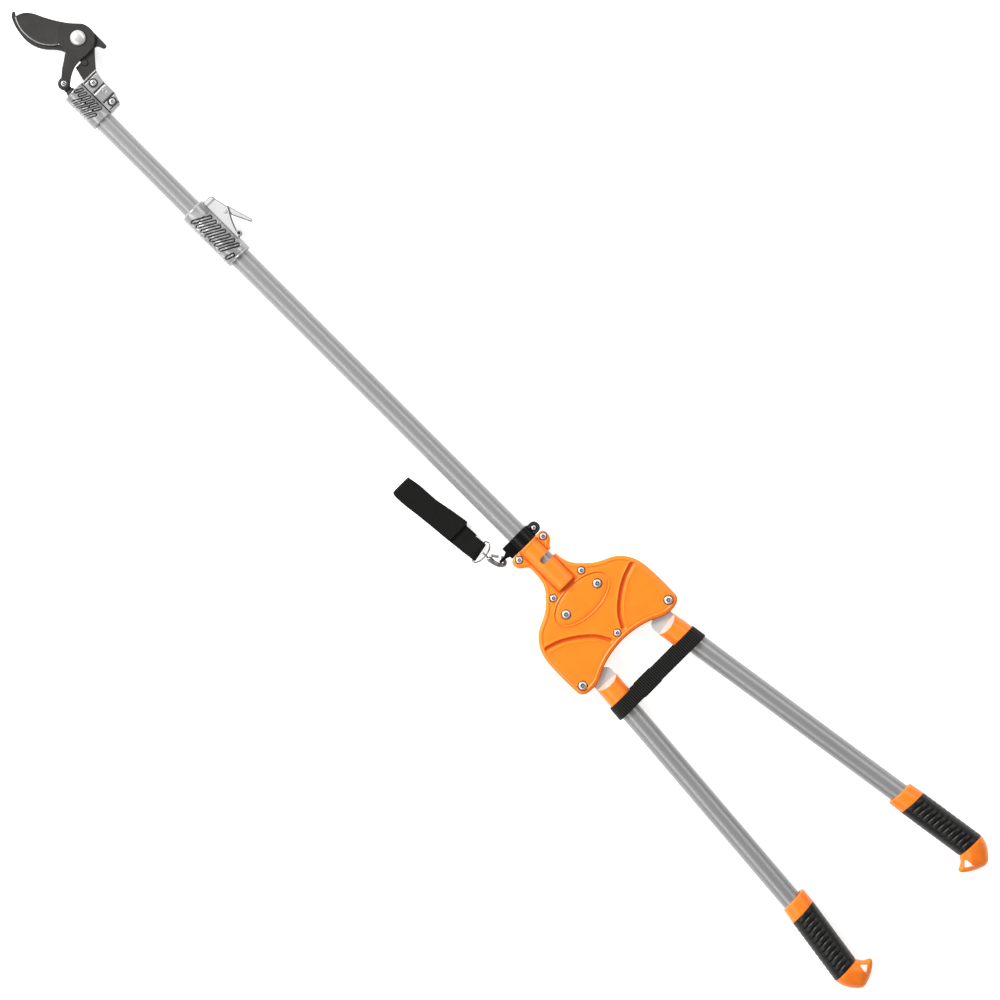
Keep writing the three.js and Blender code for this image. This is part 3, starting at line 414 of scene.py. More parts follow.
def relief(
    name, outline, top, bottom, finish=None, step=2.0, rings=(), features=(), spacing=5.0, edge=None, smooth=35
):
    """A closed solid over an outline. top and bottom give the heights of its faces at some points.

    rings are distances in from the outline, and features are (line, distances, closed), where points are
    packed along the line. edge is the part of the outline that the rings follow, where that isn't all of it.
    """
    border = refine(anticlockwise(outline), step)
    followed = border if edge is None else edge
    loose = []
    for ring in rings:
        line = shifted(border, ring) if edge is None else shifted(refine(edge, step, False), ring, False)
        clear = distance(line, followed, edge is None) > ring * 0.97
        loose.append(line[clear & inside(line, border)])
    margin = (rings[-1] if rings else 0) + 0.4
    for line, offsets, closed in features:
        for offset in offsets:
            moved = shifted(line, offset, closed)
            loose.append(moved[inside(moved, border) & (distance(moved, border, True) > 0.25)])
    low, high = border.min(axis=0), border.max(axis=0)
    xs = np.arange(low[0] + spacing / 2, high[0], spacing)
    ys = np.arange(low[1] + spacing / 2, high[1], spacing)
    grid = np.array([(x + (spacing / 2 if j % 2 else 0), y) for j, y in enumerate(ys) for x in xs])
    if len(grid):
        grid = grid[inside(grid, border) & (distance(grid, border, True) > spacing * 0.45)]
    if len(grid) and margin > 0.4:
        grid = grid[distance(grid, followed, edge is None) > margin + spacing * 0.3]
    for line, offsets, closed in features:
        reach = max(abs(o) for o in offsets)
        if len(grid):
            grid = grid[distance(grid, line, closed) > reach + spacing * 0.35]
    loose.append(grid.reshape(-1, 2))
    inner = np.concatenate(loose)
    cells = {}
    for p in inner:
        cells.setdefault((round(p[0] / 0.12), round(p[1] / 0.12)), p)
    everything = np.concatenate([border, np.array(list(cells.values())).reshape(-1, 2)])
    rim = list(range(len(border)))
    found = delaunay_2d_cdt([Vector(p) for p in everything], [], [rim], 1, 1e-4)
    flat = np.array([tuple(v) for v in found[0]])
    triangles = [list(t) for t in found[2]]
    count = len(flat)
    upper = np.column_stack([flat, top(flat)])
    lower = np.column_stack([flat, bottom(flat)])
    used = {}
    for t in triangles:
        for i in range(3):
            a, b = t[i], t[(i + 1) % 3]
            used[(a, b)] = used.get((a, b), 0) + 1
    walls = [(a, b) for (a, b) in used if (b, a) not in used]
    faces = triangles + [[i + count for i in reversed(t)] for t in triangles]
    faces += [(b, a, a + count, b + count) for a, b in walls]
    return mesh_piece(name, np.concatenate([upper, lower]), faces, finish, smooth)


def block(outline, low, high, name="block"):
    """A plain plate, for cutting and joining."""
    border = anticlockwise(np.asarray(outline, float))
    n = len(border)
    points = [(x, y, z) for z in (low, high) for x, y in border]
    faces = [tuple(range(n))[::-1], tuple(range(n, 2 * n))]
    faces += [(i, (i + 1) % n, (i + 1) % n + n, i + n) for i in range(n)]
    return mesh_piece(name, points, faces)


def box(x, y, z):
    return block([(x[0], y[0]), (x[1], y[0]), (x[1], y[1]), (x[0], y[1])], *z)


def spun(name, profile, centre, finish=None, axis="Z", sides=48, closed=False):
    """A turned piece: profile is (height, radius[, lobes]), from one end to the other, or right round if closed."""
    turn = np.linspace(0, 2 * math.pi, sides, endpoint=False)
    points, rows = [], []
    for height, radius, *rest in profile:
        lobes = rest[0] if rest else 0
        if radius == 0:
            rows.append([len(points)])
            points.append((0, 0, height))
            continue
        rows.append(list(range(len(points), len(points) + sides)))
        r = radius * (1 + lobes * np.cos(6 * turn))
        points.extend(zip(r * np.cos(turn), r * np.sin(turn), [height] * sides))
    faces = []
    pairs = list(zip(rows, rows[1:])) + ([(rows[-1], rows[0])] if closed else [])
    for a, b in pairs:
        for i in range(sides):
            j = (i + 1) % sides
            if len(a) == 1 and len(b) > 1:
                faces.append((a[0], b[i], b[j]))
            elif len(b) == 1 and len(a) > 1:
                faces.append((a[i], b[0], a[j]))
            elif len(a) > 1:
                faces.append((a[i], b[i], b[j], a[j]))
    points = np.array(points, float)
    if axis == "X":
        points = points[:, [2, 0, 1]]
    return mesh_piece(name, points + np.array(centre, float), faces, finish)


def rod(start, end, radius):
    """The profile of a plain rod, for spun()."""
    return [(start, 0), (start, radius), (end, radius), (end, 0)]


def round_bar(name, start, end, radius, centre=(0, 0), sides=96):
    return spun(name, rod(start, end, radius), (0, *centre), None, "X", sides)


def drill(piece, x, y, radius, low=-30, high=30, sides=40):
    return combine(piece, spun("hole", rod(low, high, radius), (x, y, 0), sides=sides))


def sweep(name, line, radius, finish, sides, closed=False):
    """A round bar along a line; radius may be one number for each point."""
    line = np.asarray(line, float)
    n = len(line)
    radii = np.broadcast_to(radius, (n,))
    if closed:
        tangent = np.roll(line, -1, axis=0) - np.roll(line, 1, axis=0)
    else:
        tangent = np.gradient(line, axis=0)
    tangent /= np.linalg.norm(tangent, axis=1)[:, None]
    up = np.array([0, 0, 1.0])
    if abs(tangent[0] @ up) > 0.9:
        up = np.array([1.0, 0, 0])
    points = []
    turn = np.linspace(0, 2 * math.pi, sides, endpoint=False)
    for p, t, r in zip(line, tangent, radii):
        side = np.cross(t, up)
        side /= np.linalg.norm(side)
        over = np.cross(side, t)
        points.extend(p + r * (np.cos(a) * side + np.sin(a) * over) for a in turn)
    faces = []
    for i in range(n if closed else n - 1):
        a, b = i * sides, (i + 1) % n * sides
        faces += [(a + k, a + (k + 1) % sides, b + (k + 1) % sides, b + k) for k in range(sides)]
    if not closed:
        faces += [tuple(range(sides))[::-1], tuple(range((n - 1) * sides, n * sides))]
    return mesh_piece(name, np.array(points), faces, finish)


def skin(name, along, turns, surface, bore, finish=None, smooth=35):
    """A sleeve over a grid: surface(a, turn) gives an outer point, bore(a, turn) the inner point behind it."""
    rows = []
    for a in along:
        rows.append([surface(a, t) for t in turns])
    for a in along[::-1]:
        rows.append([bore(a, t) for t in turns])
    n, m = len(rows), len(turns)
    points = np.array(rows, float).reshape(-1, 3)
    faces = []
    for i in range(n):
        a, b = i * m, (i + 1) % n * m
        faces += [(a + k, a + (k + 1) % m, b + (k + 1) % m, b + k) for k in range(m)]
    return mesh_piece(name, points, faces, finish, smooth)


TURNS = np.linspace(0, 2 * math.pi, 96, endpoint=False)

# ---------------------------------------------------------------- gear case

NECK_FROM, NECK_TO, NECK_RADIUS, NECK_BORE = -193, -118.6, 17, 13.85
CASE_TOP = 10
HEAD_SEAT = 8.6
LEVER_PIVOT = (-292.35, 75.67)
PINION = (-214.85, 27.5)
CASE_SCREWS = [
    ("pivot_bolt_right", LEVER_PIVOT[0], -LEVER_PIVOT[1], 4, 5.7),
    ("pivot_bolt_left", LEVER_PIVOT[0], LEVER_PIVOT[1], 4, 5.7),
    ("pinion_bolt_right", PINION[0], -PINION[1], 3, 5.7),
    ("pinion_bolt_left", PINION[0], PINION[1], 3, 5.7),
    ("case_screw_right", -189.2, -24.9, 1.6, 4.6),
    ("case_screw_left", -189.2, 24.3, 1.6, 4.6),
    ("case_screw_rear", -276.2, -1.6, 1.6, 4.6),
    ("neck_screw_right", -125.3, -21.2, 1.6, 4.6),
    ("neck_screw_left", -125.3, 20.8, 1.6, 4.6),
]


def case_side(neck, lobe):
    return path(
        (-287.2, 0), (-287.5, 20, -292, 37, -299.2, 51), (-304.6, 61, -304.4, 69, -303.6, 75),
        (-302, 86.9, -291, 86.9), (-262, 88, -245, 86.6), (-224, 85.5, -213, 76, -206.5, 67.5),
        (-201, 60, -199, 49, -190.5, 39.5), (-178, 26, -172, neck + 1, -152, neck), (-144, neck),
        (-136, neck, -137, lobe, -126, lobe), (NECK_TO, lobe, NECK_TO, 21), (NECK_TO, 0),
        steps=14,
    )


CASE_OUTLINE = anticlockwise(
    np.concatenate([case_side(18.4, 30.6), case_side(17.4, 28)[1:-1][::-1] * (1, -1)])
)
GROOVES = [
    curve([(-229, 74 * s), (-235, 57 * s), (-246, 39 * s), (-261, 22 * s), (-277, 12 * s)], 10) for s in (-1, 1)
]
PAD_RIM = circle(-215, 0, 21.2, 96, 2.02)
CASE_BORDER = refine(CASE_OUTLINE, 2.0)


def case_top(p, front=True):
    x, y = p[:, 0], p[:, 1]
    d = distance(p, CASE_BORDER, True)
    rear = ease(-245, -280, x) if front else np.zeros(len(p))
    bead = np.exp(-(((d - 4.3) / 0.8) ** 2)) * (0.45 + 0.35 * rear) - 0.4 * np.exp(-(((d - 6.1) / 0.8) ** 2))
    z = CASE_TOP - rounding(d, 3.4) + (bead if front else 0)
    if front:
        for groove in GROOVES:
            g = distance(p, groove)
            z += 0.5 * ease(3.7, 4.5, g) * (1 - ease(4.5, 5.8, g)) - 2.3 * (1 - ease(1.3, 4.1, g))
    rim = distance(p, PAD_RIM, True)
    within = ((x + 215) / 21.2) ** 2 + (y / 42.8) ** 2 < 1
    outward = np.where(within, -rim, rim)
    z += 0.85 * np.exp(-(((outward - 0.8) / 0.8) ** 2)) - 0.9 * np.exp(-(((outward + 1.0) / 0.9) ** 2))
    inside_neck = np.sqrt(np.clip(NECK_RADIUS**2 - y**2, 0, None))
    scale = ease(NECK_FROM - 3, NECK_FROM + 5.5, x)
    barrel = inside_neck * scale - 30 * (1 - scale)
    barrel += 0.7 * ease(-122.2, -121.2, x) - rounding(NECK_TO - x, 1.6)
    k = 1.3  # the fillet between the plate and the neck
    blend_in = np.clip(0.5 + 0.5 * (barrel - z) / k, 0, 1)
    z = z * (1 - blend_in) + barrel * blend_in + k * blend_in * (1 - blend_in) * 0.5
    for _, sx, sy, _, head in CASE_SCREWS:
        z = np.where(np.hypot(x - sx, y - sy) < head + 0.8, HEAD_SEAT, z)
    return np.where(d < 1e-6, CASE_TOP - 3.6, z)


def shaded(p, n, more):
    """Painted shade: faces in the grooves, beside the neck, round its end and on rear edges turned from the key
    light, where the moulding is in its own shade.
    """
    top = (p[:, 2] > 4) & (n[:, 2] > 0.05)
    grooves = (np.min([distance(p[:, :2], g) for g in GROOVES], axis=0) < 3.0 + 0.8 * more) & (n[:, 0] < 0.12)
    beside = np.abs(np.abs(p[:, 1]) - 14.0) < 0.9 + 1.0 * more
    neck = beside & (p[:, 0] > NECK_FROM) & (p[:, 0] < -119.5)
    end = (np.abs(p[:, 0] - NECK_FROM - 2.2) < 1.6 + 1.4 * more) & (np.abs(p[:, 1]) < 14.6)
    away = (n[:, 2] < 0.55 + 0.3 * more) & (n[:, 0] < -0.15) & (p[:, 0] < -195)
    return top & (grooves | neck | end | away)


def screw_rings(p, _):
    """The painted shadow round each screw head."""
    rings = [np.abs(np.hypot(p[:, 0] - x, p[:, 1] - y) - head - 0.2) < 0.62 for _, x, y, _, head in CASE_SCREWS]
    return np.any(rings, axis=0) & (p[:, 2] > 7) & (p[:, 2] < 9.8)


def case_half(name, front):
    sign = 1 if front else -1
    features = [(PAD_RIM, (-2.6, -1.9, -1.4, -0.9, -0.4, 0.1, 0.5, 0.9, 1.3, 1.8, 2.4), True)]
    if front:
        steps = (1.3, 2.1, 2.8, 3.4, 4.0, 4.5, 5.1, 5.8)
        features += [(g, (*(-step for step in steps[::-1]), 0, *steps), False) for g in GROOVES]
        for g in GROOVES:
            for end in (g[0], g[-1]):
                features.append((circle(*end, 2.4, 20), (-1.5, -0.9, -0.4, 0, 0.6, 1.4), True))
    for _, sx, sy, _, head in CASE_SCREWS:
        features.append((circle(sx, sy, head + 0.8, 32), (-0.07, 0.07), True))
    for y in range(-17, 18):
        line = np.array([(x, y) for x in np.arange(NECK_FROM - 4, NECK_TO - 0.6, 1.5)])
        features.append((line, (0,), False))
    shell = relief(
        name,
        CASE_OUTLINE,
        lambda p: sign * case_top(p, front),
        level(sign * 0.15),
        ORANGE,
        step=2.0,
        rings=(0.12, 0.5, 1.1, 1.9, 2.7, 3.4, 3.9, 4.3, 4.7, 5.2, 5.7, 6.1, 6.7, 7.4),
        features=features,
        spacing=4.5,
        smooth=40,
    )
    inner = refine(shifted(CASE_BORDER, 2.2), 2.0)
    inner = inner[distance(inner, CASE_BORDER, True) > 2.1]
    inner = inner[inner[:, 0] < -184]
    space = block(inner, -7.2, 7.2)
    for side in (-1, 1):
        combine(space, box((-320, -206), sorted((29 * side, 95 * side)), (-4, 4)), "UNION")
    combine(space, round_bar("bore", -186.3, -110, NECK_BORE), "UNION")
    combine(space, box((-151.6, -142.6), (-30, -13), (-20, 20)), "UNION")
    if front:
        window = path(
            (-151.6, -30), (-142.6, -30), (-142.6, -0.8), (-142.6, 3.7, -147.1, 3.7),
            (-151.6, 3.7, -151.6, -0.8),
        )
        combine(space, block(window, 2, 21), "UNION")
    for _, sx, sy, shank, _ in CASE_SCREWS:
        combine(space, spun("hole", rod(-30, 30, shank + 0.3), (sx, sy, 0), sides=24), "UNION")
    combine(shell, space)
    sharpen(shell, 40)
    if front:
        # painted shade: darker orange copies of the plastic stand in for the moulding's shade
        paint(shell, ORANGE_SHADE, lambda p, n: shaded(p, n, 1))
        paint(shell, ORANGE_DEEP_SHADE, lambda p, n: shaded(p, n, 0))
        # painted shadow: a dark brown ring round each screw head
        paint(shell, PAINTED_SCREW_SHADOW, screw_rings)
    return place(shell, "case", name)


case_half("front_cover", True)
case_half("rear_cover", False)


def button_head(name, body, x, y, shank, head, seat, end, rise=2.8):
    """A domed screw head with a six-lobed socket."""
    crown = seat + rise
    profile = [(end, 0), (end, shank), (seat, shank), (seat, head - 0.15), (seat + 0.15, head)]
    for a in np.linspace(0.12, math.pi / 2, 7):
        profile.append((seat + rise * math.sin(a), head * (0.42 + 0.58 * math.cos(a))))
    profile += [(crown - 0.1, head * 0.50, 0.08), (crown - 1.3, head * 0.24, 0.14), (crown - 1.35, 0)]
    made = spun(name, profile, (x, y, 0), BRIGHT)

    # painted shade: the socket's walls take a dark steel
    def socket(p, n):
        reach = np.hypot(p[:, 0] - x, p[:, 1] - y)
        return (reach < head * 0.56) & (reach > head * 0.17) & (p[:, 2] > seat) & (n[:, 2] < 0.97)

    return place(paint(made, SOCKET_SHADE, socket), body, name)


for name, x, y, shank, head in CASE_SCREWS:
    button_head(name, "case", x, y, shank, head, HEAD_SEAT, -8)

# ---------------------------------------------------------------- pole


def pipe(name, body, start, end, outer, inner):
    """A tube with a small bevel on its four lips."""
    lip = 0.25
    half = [(start + lip, outer), (end - lip, outer), (end, outer - lip)]
    half += [(end, inner + lip), (end - lip, inner), (start + lip, inner)]
    half += [(start, inner + lip), (start, outer - lip)]
    place(spun(name, half, (0, 0, 0), TUBE, "X", 96, closed=True), body, name)


pipe("lower_pole_tube", "case", -186, 425, 13.5, 12.75)
pipe("upper_pole_tube", "upper_pole", -105, 672.5, 12.5, 11.5)

# ---------------------------------------------------------------- clamp

CLAMP_FROM, CLAMP_TO, CLAMP_RADIUS = 389, 473, 17.3


SLEEVE_RIBS = [((400.5 + 8.1 * i, -9.5), (411.5 + 8.1 * i, 11)) for i in range(7)]
SLEEVE_RIBS.append(((395.6, 4), (398.8, 12)))


def recessed(p, radius, ribs, reach):
    """Points at the bottom of the slots beside some ribs."""
    near = np.min([distance(p[:, :2], np.array([a, b])) for a, b in ribs], axis=0)
    return (near < reach) & (p[:, 2] > 0) & (np.hypot(p[:, 1], p[:, 2]) < radius)


def sleeve():
    ends = [CLAMP_FROM, 389.35, 390.2], [471, 471.6, 472.3, CLAMP_TO]
    along = np.concatenate([ends[0], np.arange(390.8, 470.4, 0.55), ends[1]])
    xs, turns = np.meshgrid(along, TURNS, indexing="ij")
    y, z = CLAMP_RADIUS * np.cos(turns), CLAMP_RADIUS * np.sin(turns)
    r = np.full(xs.shape, CLAMP_RADIUS)
    r -= rounding(xs - CLAMP_FROM, 0.9) + 0.9 * (CLAMP_TO - xs < 1.9) * np.clip(1.9 - (CLAMP_TO - xs), 0, 1.9)
    front = z > 0
    flat = np.stack([xs.ravel(), y.ravel()], axis=1)
    for a, b in SLEEVE_RIBS:
        gap = distance(flat, np.array([a, b])).reshape(xs.shape)
        r -= np.where(front, 1.6 * (1 - ease(0.55, 1.05, np.abs(gap - 1.9))), 0)
        r += np.where(front, 0.6 * (1 - ease(0.4, 1.2, gap)), 0)
    for i in range(7):
        gap = np.hypot(xs - (402.5 + 8 * i), y - 14)
        r += np.where(front, 0.9 * (1 - ease(1.1, 2.2, gap)), 0)
    groove_end = (y > 13.2) & (y < 14) & front
    r -= np.where(groove_end & (xs < 456), 0.3, 0)
    r -= np.where(front & (xs > 391.2) & (xs < 392.6), 0.5, 0)
    r -= np.where(front & (xs > 454.6) & (xs < 456) & (y < 12) & (y > -12), 0.7, 0)
    points = np.stack([xs, r * np.cos(turns), r * np.sin(turns)], axis=2).reshape(-1, 3)
    n, m = len(along), len(TURNS)
    lower = along < 425.3
    bore = np.where(lower, 13.8, 12.8)[:, None] * np.ones(m)
    backs = np.stack([xs, bore * np.cos(turns), bore * np.sin(turns)], axis=2)[::-1].reshape(-1, 3)
    faces = []
    for i in range(2 * n):
        a, b = i * m, (i + 1) % (2 * n) * m
        faces += [(a + k, a + (k + 1) % m, b + (k + 1) % m, b + k) for k in range(m)]
    made = mesh_piece("clamp_sleeve", np.concatenate([points, backs]), faces, CAST, 45)
    # painted shade: the slots beside the ribs take a dark copy of the cast metal
    paint(made, CAST_SHADE, lambda p, n: recessed(p, CLAMP_RADIUS - 0.75, SLEEVE_RIBS, 3.8))
    combine(made, box((432.4, 450.4), (-40, -8), (-6, 6)))
    return place(sharpen(made, 45), "case", "clamp_sleeve")


sleeve()

# ---------------------------------------------------------------- head holder

HOLDER_FROM, HOLDER_TO, HOLDER_RADIUS = 630.2, 682, 15.7
HOLDER_SCREWS = [("holder_screw_rear", 638.8, -24.8), ("holder_screw_front", 671.9, -24.6)]
POCKET_X, POCKET_Y, POCKET_RADIUS = -0.5, 0.3, 5.8  # where a screw's pocket is from its screw
POCKET_FLOOR = 7.4
CHEEK_GROOVES = (633, 644.6, 662, 679)
HOLDER_RIBS = [((641 + 6.5 * i, 1.8), (647.6 + 6.5 * i, 13)) for i in range(5)]
HOLDER_RIBS += [((642.5 + 6.5 * i, -8.6), (646 + 6.5 * i, -1.2)) for i in range(6)]
HOLDER_OUTLINE = path(
    (HOLDER_FROM, HOLDER_RADIUS),
    (HOLDER_FROM, -28), (HOLDER_FROM + 1, -30.5, HOLDER_FROM + 4, -31), (645, -34.6), (664, -34.6),
    (673, -35.6, HOLDER_TO, -38), (HOLDER_TO, HOLDER_RADIUS),
)


def holder_top(p, front=True):
    x, y = p[:, 0], p[:, 1]
    d = distance(p, refine(anticlockwise(HOLDER_OUTLINE), 2.0), True)
    ends = np.minimum(x - HOLDER_FROM, HOLDER_TO - x)
    radius = HOLDER_RADIUS - 0.7 * (1 - ease(0, 0.9, ends))
    barrel = np.sqrt(np.clip(radius**2 - y**2, 0, None))
    cheek = 9 - rounding(np.where(y < -12, d, 9), 1.2)
    if front:
        for a, b in HOLDER_RIBS:
            gap = distance(p, np.array([a, b]))
            barrel -= 1.4 * (1 - ease(0.5, 0.9, np.abs(gap - 1.6)))
            barrel += 0.5 * (1 - ease(0.3, 1.0, gap))
        barrel -= 0.35 * (1 - ease(0.25, 0.6, np.abs(y - 14.2)))
        barrel -= 0.4 * (1 - ease(0.2, 0.7, np.abs(y - 0.1)))
        panel = ease(646, 646.8, x) * (1 - ease(659.2, 660, x)) * ease(-33.8, -33, y) * (1 - ease(-14.8, -14.2, y))
        cheek = cheek + 0.7 * panel
        for gx in CHEEK_GROOVES:
            cheek -= 1.1 * (1 - ease(0.8, 1.3, np.abs(x - gx))) * (y < -15.5)
        cheek -= 0.6 * (1 - ease(0.3, 0.7, np.abs(np.hypot(x - 655.5, y + 27) - 2.5)))
    z = np.where(y > -13.2, barrel, cheek)
    z = np.where(np.abs(y + 13.4) < 0.5, np.minimum(barrel, 9) - 1.0, z)
    for _, sx, sy in HOLDER_SCREWS:
        z = np.where(np.hypot(x - sx - POCKET_X, y - sy - POCKET_Y) < POCKET_RADIUS, POCKET_FLOOR, z)
    return np.maximum(z, 0.16)


def holder_recess(p, _):
    """Painted shade: the slots, the seam, the cheek's grooves and the walls of the screw pockets take a dark copy
    of the cast metal.
    """
    slots = recessed(p, HOLDER_RADIUS - 0.7, HOLDER_RIBS, 3.0) & (p[:, 1] > -12)
    seam = (np.abs(p[:, 1] + 13.5) < 0.8) & (p[:, 2] > 4)
    grooves = np.min([np.abs(p[:, 0] - gx) for gx in CHEEK_GROOVES], axis=0) < 1.15
    grooves &= (p[:, 1] < -15.5) & (p[:, 2] < 8.3) & (p[:, 2] > 7.2)
    reach = [np.hypot(p[:, 0] - x - POCKET_X, p[:, 1] - y - POCKET_Y) for _, x, y in HOLDER_SCREWS]
    pockets = np.min(reach, axis=0) < POCKET_RADIUS + 0.1
    return slots | seam | grooves | (pockets & (p[:, 2] > 7) & (p[:, 2] < 8.9))


def holder_half(name, front):
    sign = 1 if front else -1
    features = []
    rim, seam = (15.68, 15.6, 15.4, 15.1, 14.7, 14.3, 13.8, 13.2, 12.4), (-12.9, -13.15, -13.5, -13.9)
    for lines, step in ((rim, 1.4), (seam, 1.2)):
        for y in lines:
            row = [(x, y) for x in np.arange(HOLDER_FROM + 0.8, HOLDER_TO - 0.6, step)]
            features.append((np.array(row), (0,), False))
    for _, sx, sy in HOLDER_SCREWS:
        features.append((circle(sx, sy, 4.9, 32), (-0.07, 0.07), True))
    made = relief(
        name,
        HOLDER_OUTLINE,
        lambda p: sign * holder_top(p, front),
        level(sign * 0.15),
        CAST,
        step=1.4,
        rings=(0.12, 0.4, 0.8, 1.2),
        features=features,
        spacing=0.62 if front else 1.6,
        smooth=45,
    )
    combine(made, round_bar("bore", 620, 672.8, 12.85))
    combine(made, round_bar("mouth", 671, 700, 12.2))
    shank = path((635.7, -17.7), (635.7, -29.7), (664, -32.9), (681, -35.9), (700, -35.9), (700, -17.7))
    combine(made, block(shank, -4.6, 0))
    for _, sx, sy in HOLDER_SCREWS:
        drill(made, sx, sy, 2.3, sides=24)
    sharpen(made, 45)
    if front:
        paint(made, CAST_SHADE, holder_recess)
    return place(made, "upper_pole", name)


holder_half("head_holder_front", True)
holder_half("head_holder_rear", False)
for name, x, y in HOLDER_SCREWS:
    button_head(name, "upper_pole", x, y, 2, 4.2, POCKET_FLOOR, -8.5, 2.2)

# ---------------------------------------------------------------- blades

BLADE_PIVOT = (725.7, -50.6)
ARM_PIN = (697.7, 2.2)
HOOK_OUTLINE = path(
    (636, -18), (684, -18), (702, -22.2), (702, -32), (716, -28, 724.5, -26.2), (731, -25.6, 741, -15),
    (757, -0.4, 776, -2.6), (792, -4, 802, -9.5), (807, -12.5, 807.2, -16.2),
    (806.4, -18.6, 804, -17.6), (799.5, -14), (787, -8.2, 775, -8), (757, -7.6, 746, -19),
    (739, -27, 737, -30), (741, -40, 742, -52), (741, -69.6, 725, -69.6), (696, -69.2),
    (692.2, -68.6, 693, -65.4), (694, -63.4, 696, -62.8), (704, -60.6, 702, -56),
    (694, -48, 682.4, -38.4), (682.4, -35.6), (680, -35.6), (664, -32.6), (636, -29.4),
    steps=12,
)
CUTTER_OUTLINE = path(
    (705.3, -0.4), (713, -9.6), (723.6, -26), (729, -30.4, 737.2, -27), (744.5, -16, 757, -10.4),
    (768, -6.2, 782, -7), (792, -8.6, 799.8, -13.2), (800.6, -15, 799.8, -16.6), (798, -22, 795, -26.2),
    (789, -32.6, 779, -36.6), (763, -44, 748, -55), (741, -61, 736, -66), (728, -71.4, 718, -69.6),
    (708, -66, 704.4, -57), (702.6, -52, 703.2, -42), (705, -28, 702.2, -20.5), (699, -11, 691.5, -2.8),
    (686.7, 3.2, 691.7, 8.2), (697.2, 12.2, 702.7, 8.2), (706.7, 3.7, 705.3, -0.4),
    steps=12,
)
CUTTING_EDGE = path(
    (737.2, -27), (744.5, -16, 757, -10.4), (768, -6.2, 782, -7), (792, -8.6, 799.8, -13.2), steps=16
)
GRIND_LINE = np.array([(737.6, -28.6), (750, -43)])
STOP = (698.4, -34.6)


def hook_top(p):
    d = distance(p, refine(anticlockwise(HOOK_OUTLINE), 1.5), True)
    x, y = p[:, 0], p[:, 1]
    z = -0.3 - rounding(d, 0.7)
    stop = np.hypot(x - STOP[0], y - STOP[1])
    return z + 1.9 * (1 - ease(3.6, 4.4, stop))


def cutter_top(p):
    d = distance(p, refine(anticlockwise(CUTTER_OUTLINE), 1.5), True)
    ground = distance(p, refine(CUTTING_EDGE, 1.5, False))
    z = 3.8 - rounding(d, 0.6)
    z = np.minimum(z, 2.3 + 1.3 * ground)
    line = distance(p, GRIND_LINE)
    across = (p - GRIND_LINE[0]) @ np.array([0.757, 0.653])
    z -= 0.35 * (1 - ease(0.3, 0.8, line))
    past = (across > 0) & (p[:, 1] < -8)
    z -= np.where(past & (p[:, 0] > 738), 0.22 * ease(0, 6, across) * ease(0, 3, d), 0)
    return z


def blade(name, outline, top, low, holes, extra):
    rings = (0.1, 0.3, 0.6, 1.4, 2.2, 2.6)
    made = relief(name, outline, top, level(low), COATED, 1.5, rings, extra, spacing=3.2, smooth=30)
    for x, y, radius in holes:
        drill(made, x, y, radius, sides=48)
    return sharpen(made, 30)


hook = blade(
    "hook_blade",
    HOOK_OUTLINE,
    hook_top,
    -4.3,
    [(*BLADE_PIVOT, 5.3)] + [(x, y, 2.3) for _, x, y in HOLDER_SCREWS],
    [(circle(*STOP, 4.0, 32), (-0.5, 0, 0.5), True)],
)
place(hook, "upper_pole", "hook_blade")
cutter = blade(
    "cutting_blade",
    CUTTER_OUTLINE,
    cutter_top,
    0.3,
    [(*BLADE_PIVOT, 5.3), (*ARM_PIN, 2.3)],
    [(refine(GRIND_LINE, 1.0, False), (-0.8, -0.3, 0, 0.3, 0.8), False)],
)
paint(cutter, GROUND, lambda p, n: (distance(p[:, :2], CUTTING_EDGE) < 1.15) & (n[:, 2] > 0.2))
place(cutter, "blade", "cutting_blade")

pivot_bolt = spun(
    "blade_pivot_bolt",
    [
        (-7.6, 0), (-7.6, 5), (4.1, 5), (4.1, 9.4), (4.4, 9.7), (5.0, 9.7), (5.6, 9.4), (6.6, 8.5),
        (7.5, 7.2), (8.2, 5.5), (8.6, 3.6), (8.75, 1.7), (8.8, 0),
    ],
    (*BLADE_PIVOT, 0),
    BRIGHT,
    sides=64,
)
place(pivot_bolt, "upper_pole", "blade_pivot_bolt")
collar = [(3.9, 9.9), (3.9, 10.5), (4.5, 10.5), (4.8, 10.2), (4.8, 9.9)]
place(spun("pivot_collar", collar, (*BLADE_PIVOT, 0), COATED, closed=True, sides=64), "upper_pole")
arm_screw = spun(
    "arm_screw",
    [
        (-6, 0), (-6, 2), (4.1, 2), (4.1, 3.4), (4.9, 3.6), (5.6, 3.3), (6.1, 2.7), (6.2, 2.2, 0.1),
        (5.2, 1.0, 0.18), (5.15, 0),
    ],
    (*ARM_PIN, 0),
    BRIGHT,
    sides=48,
)


# painted shade: the socket's walls take a dark steel
def arm_socket(p, n):
    reach = np.hypot(p[:, 0] - ARM_PIN[0], p[:, 1] - ARM_PIN[1])
    return (reach < 2.3) & (reach > 0.7) & (p[:, 2] > 4) & (n[:, 2] < 0.97)


paint(arm_screw, SOCKET_SHADE, arm_socket)
place(arm_screw, "blade", "arm_screw")
washer = [(3.8, 3.8), (3.8, 6.0), (4.1, 6.4), (4.6, 6.4), (4.8, 6.0), (4.8, 4.4), (4.6, 3.8)]
place(spun("arm_washer", washer, (*ARM_PIN, 0), COATED, closed=True, sides=64), "blade")


# ---------------------------------------------------------------- small fittings at the head and the clamp


def pad_plate(name, outline, low, high, radius, finish=None, step=1.5, spacing=4.0):
    """A plate with rounded edges on both faces."""
    border = refine(anticlockwise(outline), step)
    rings = [radius * k for k in (0.08, 0.3, 0.62, 1.0)]
    return relief(
        name,
        outline,
        lambda p: high - rounding(distance(p, border, True), radius),
        lambda p: low + rounding(distance(p, border, True), radius),
        finish,
        step,
        rings,
        spacing=spacing,
    )


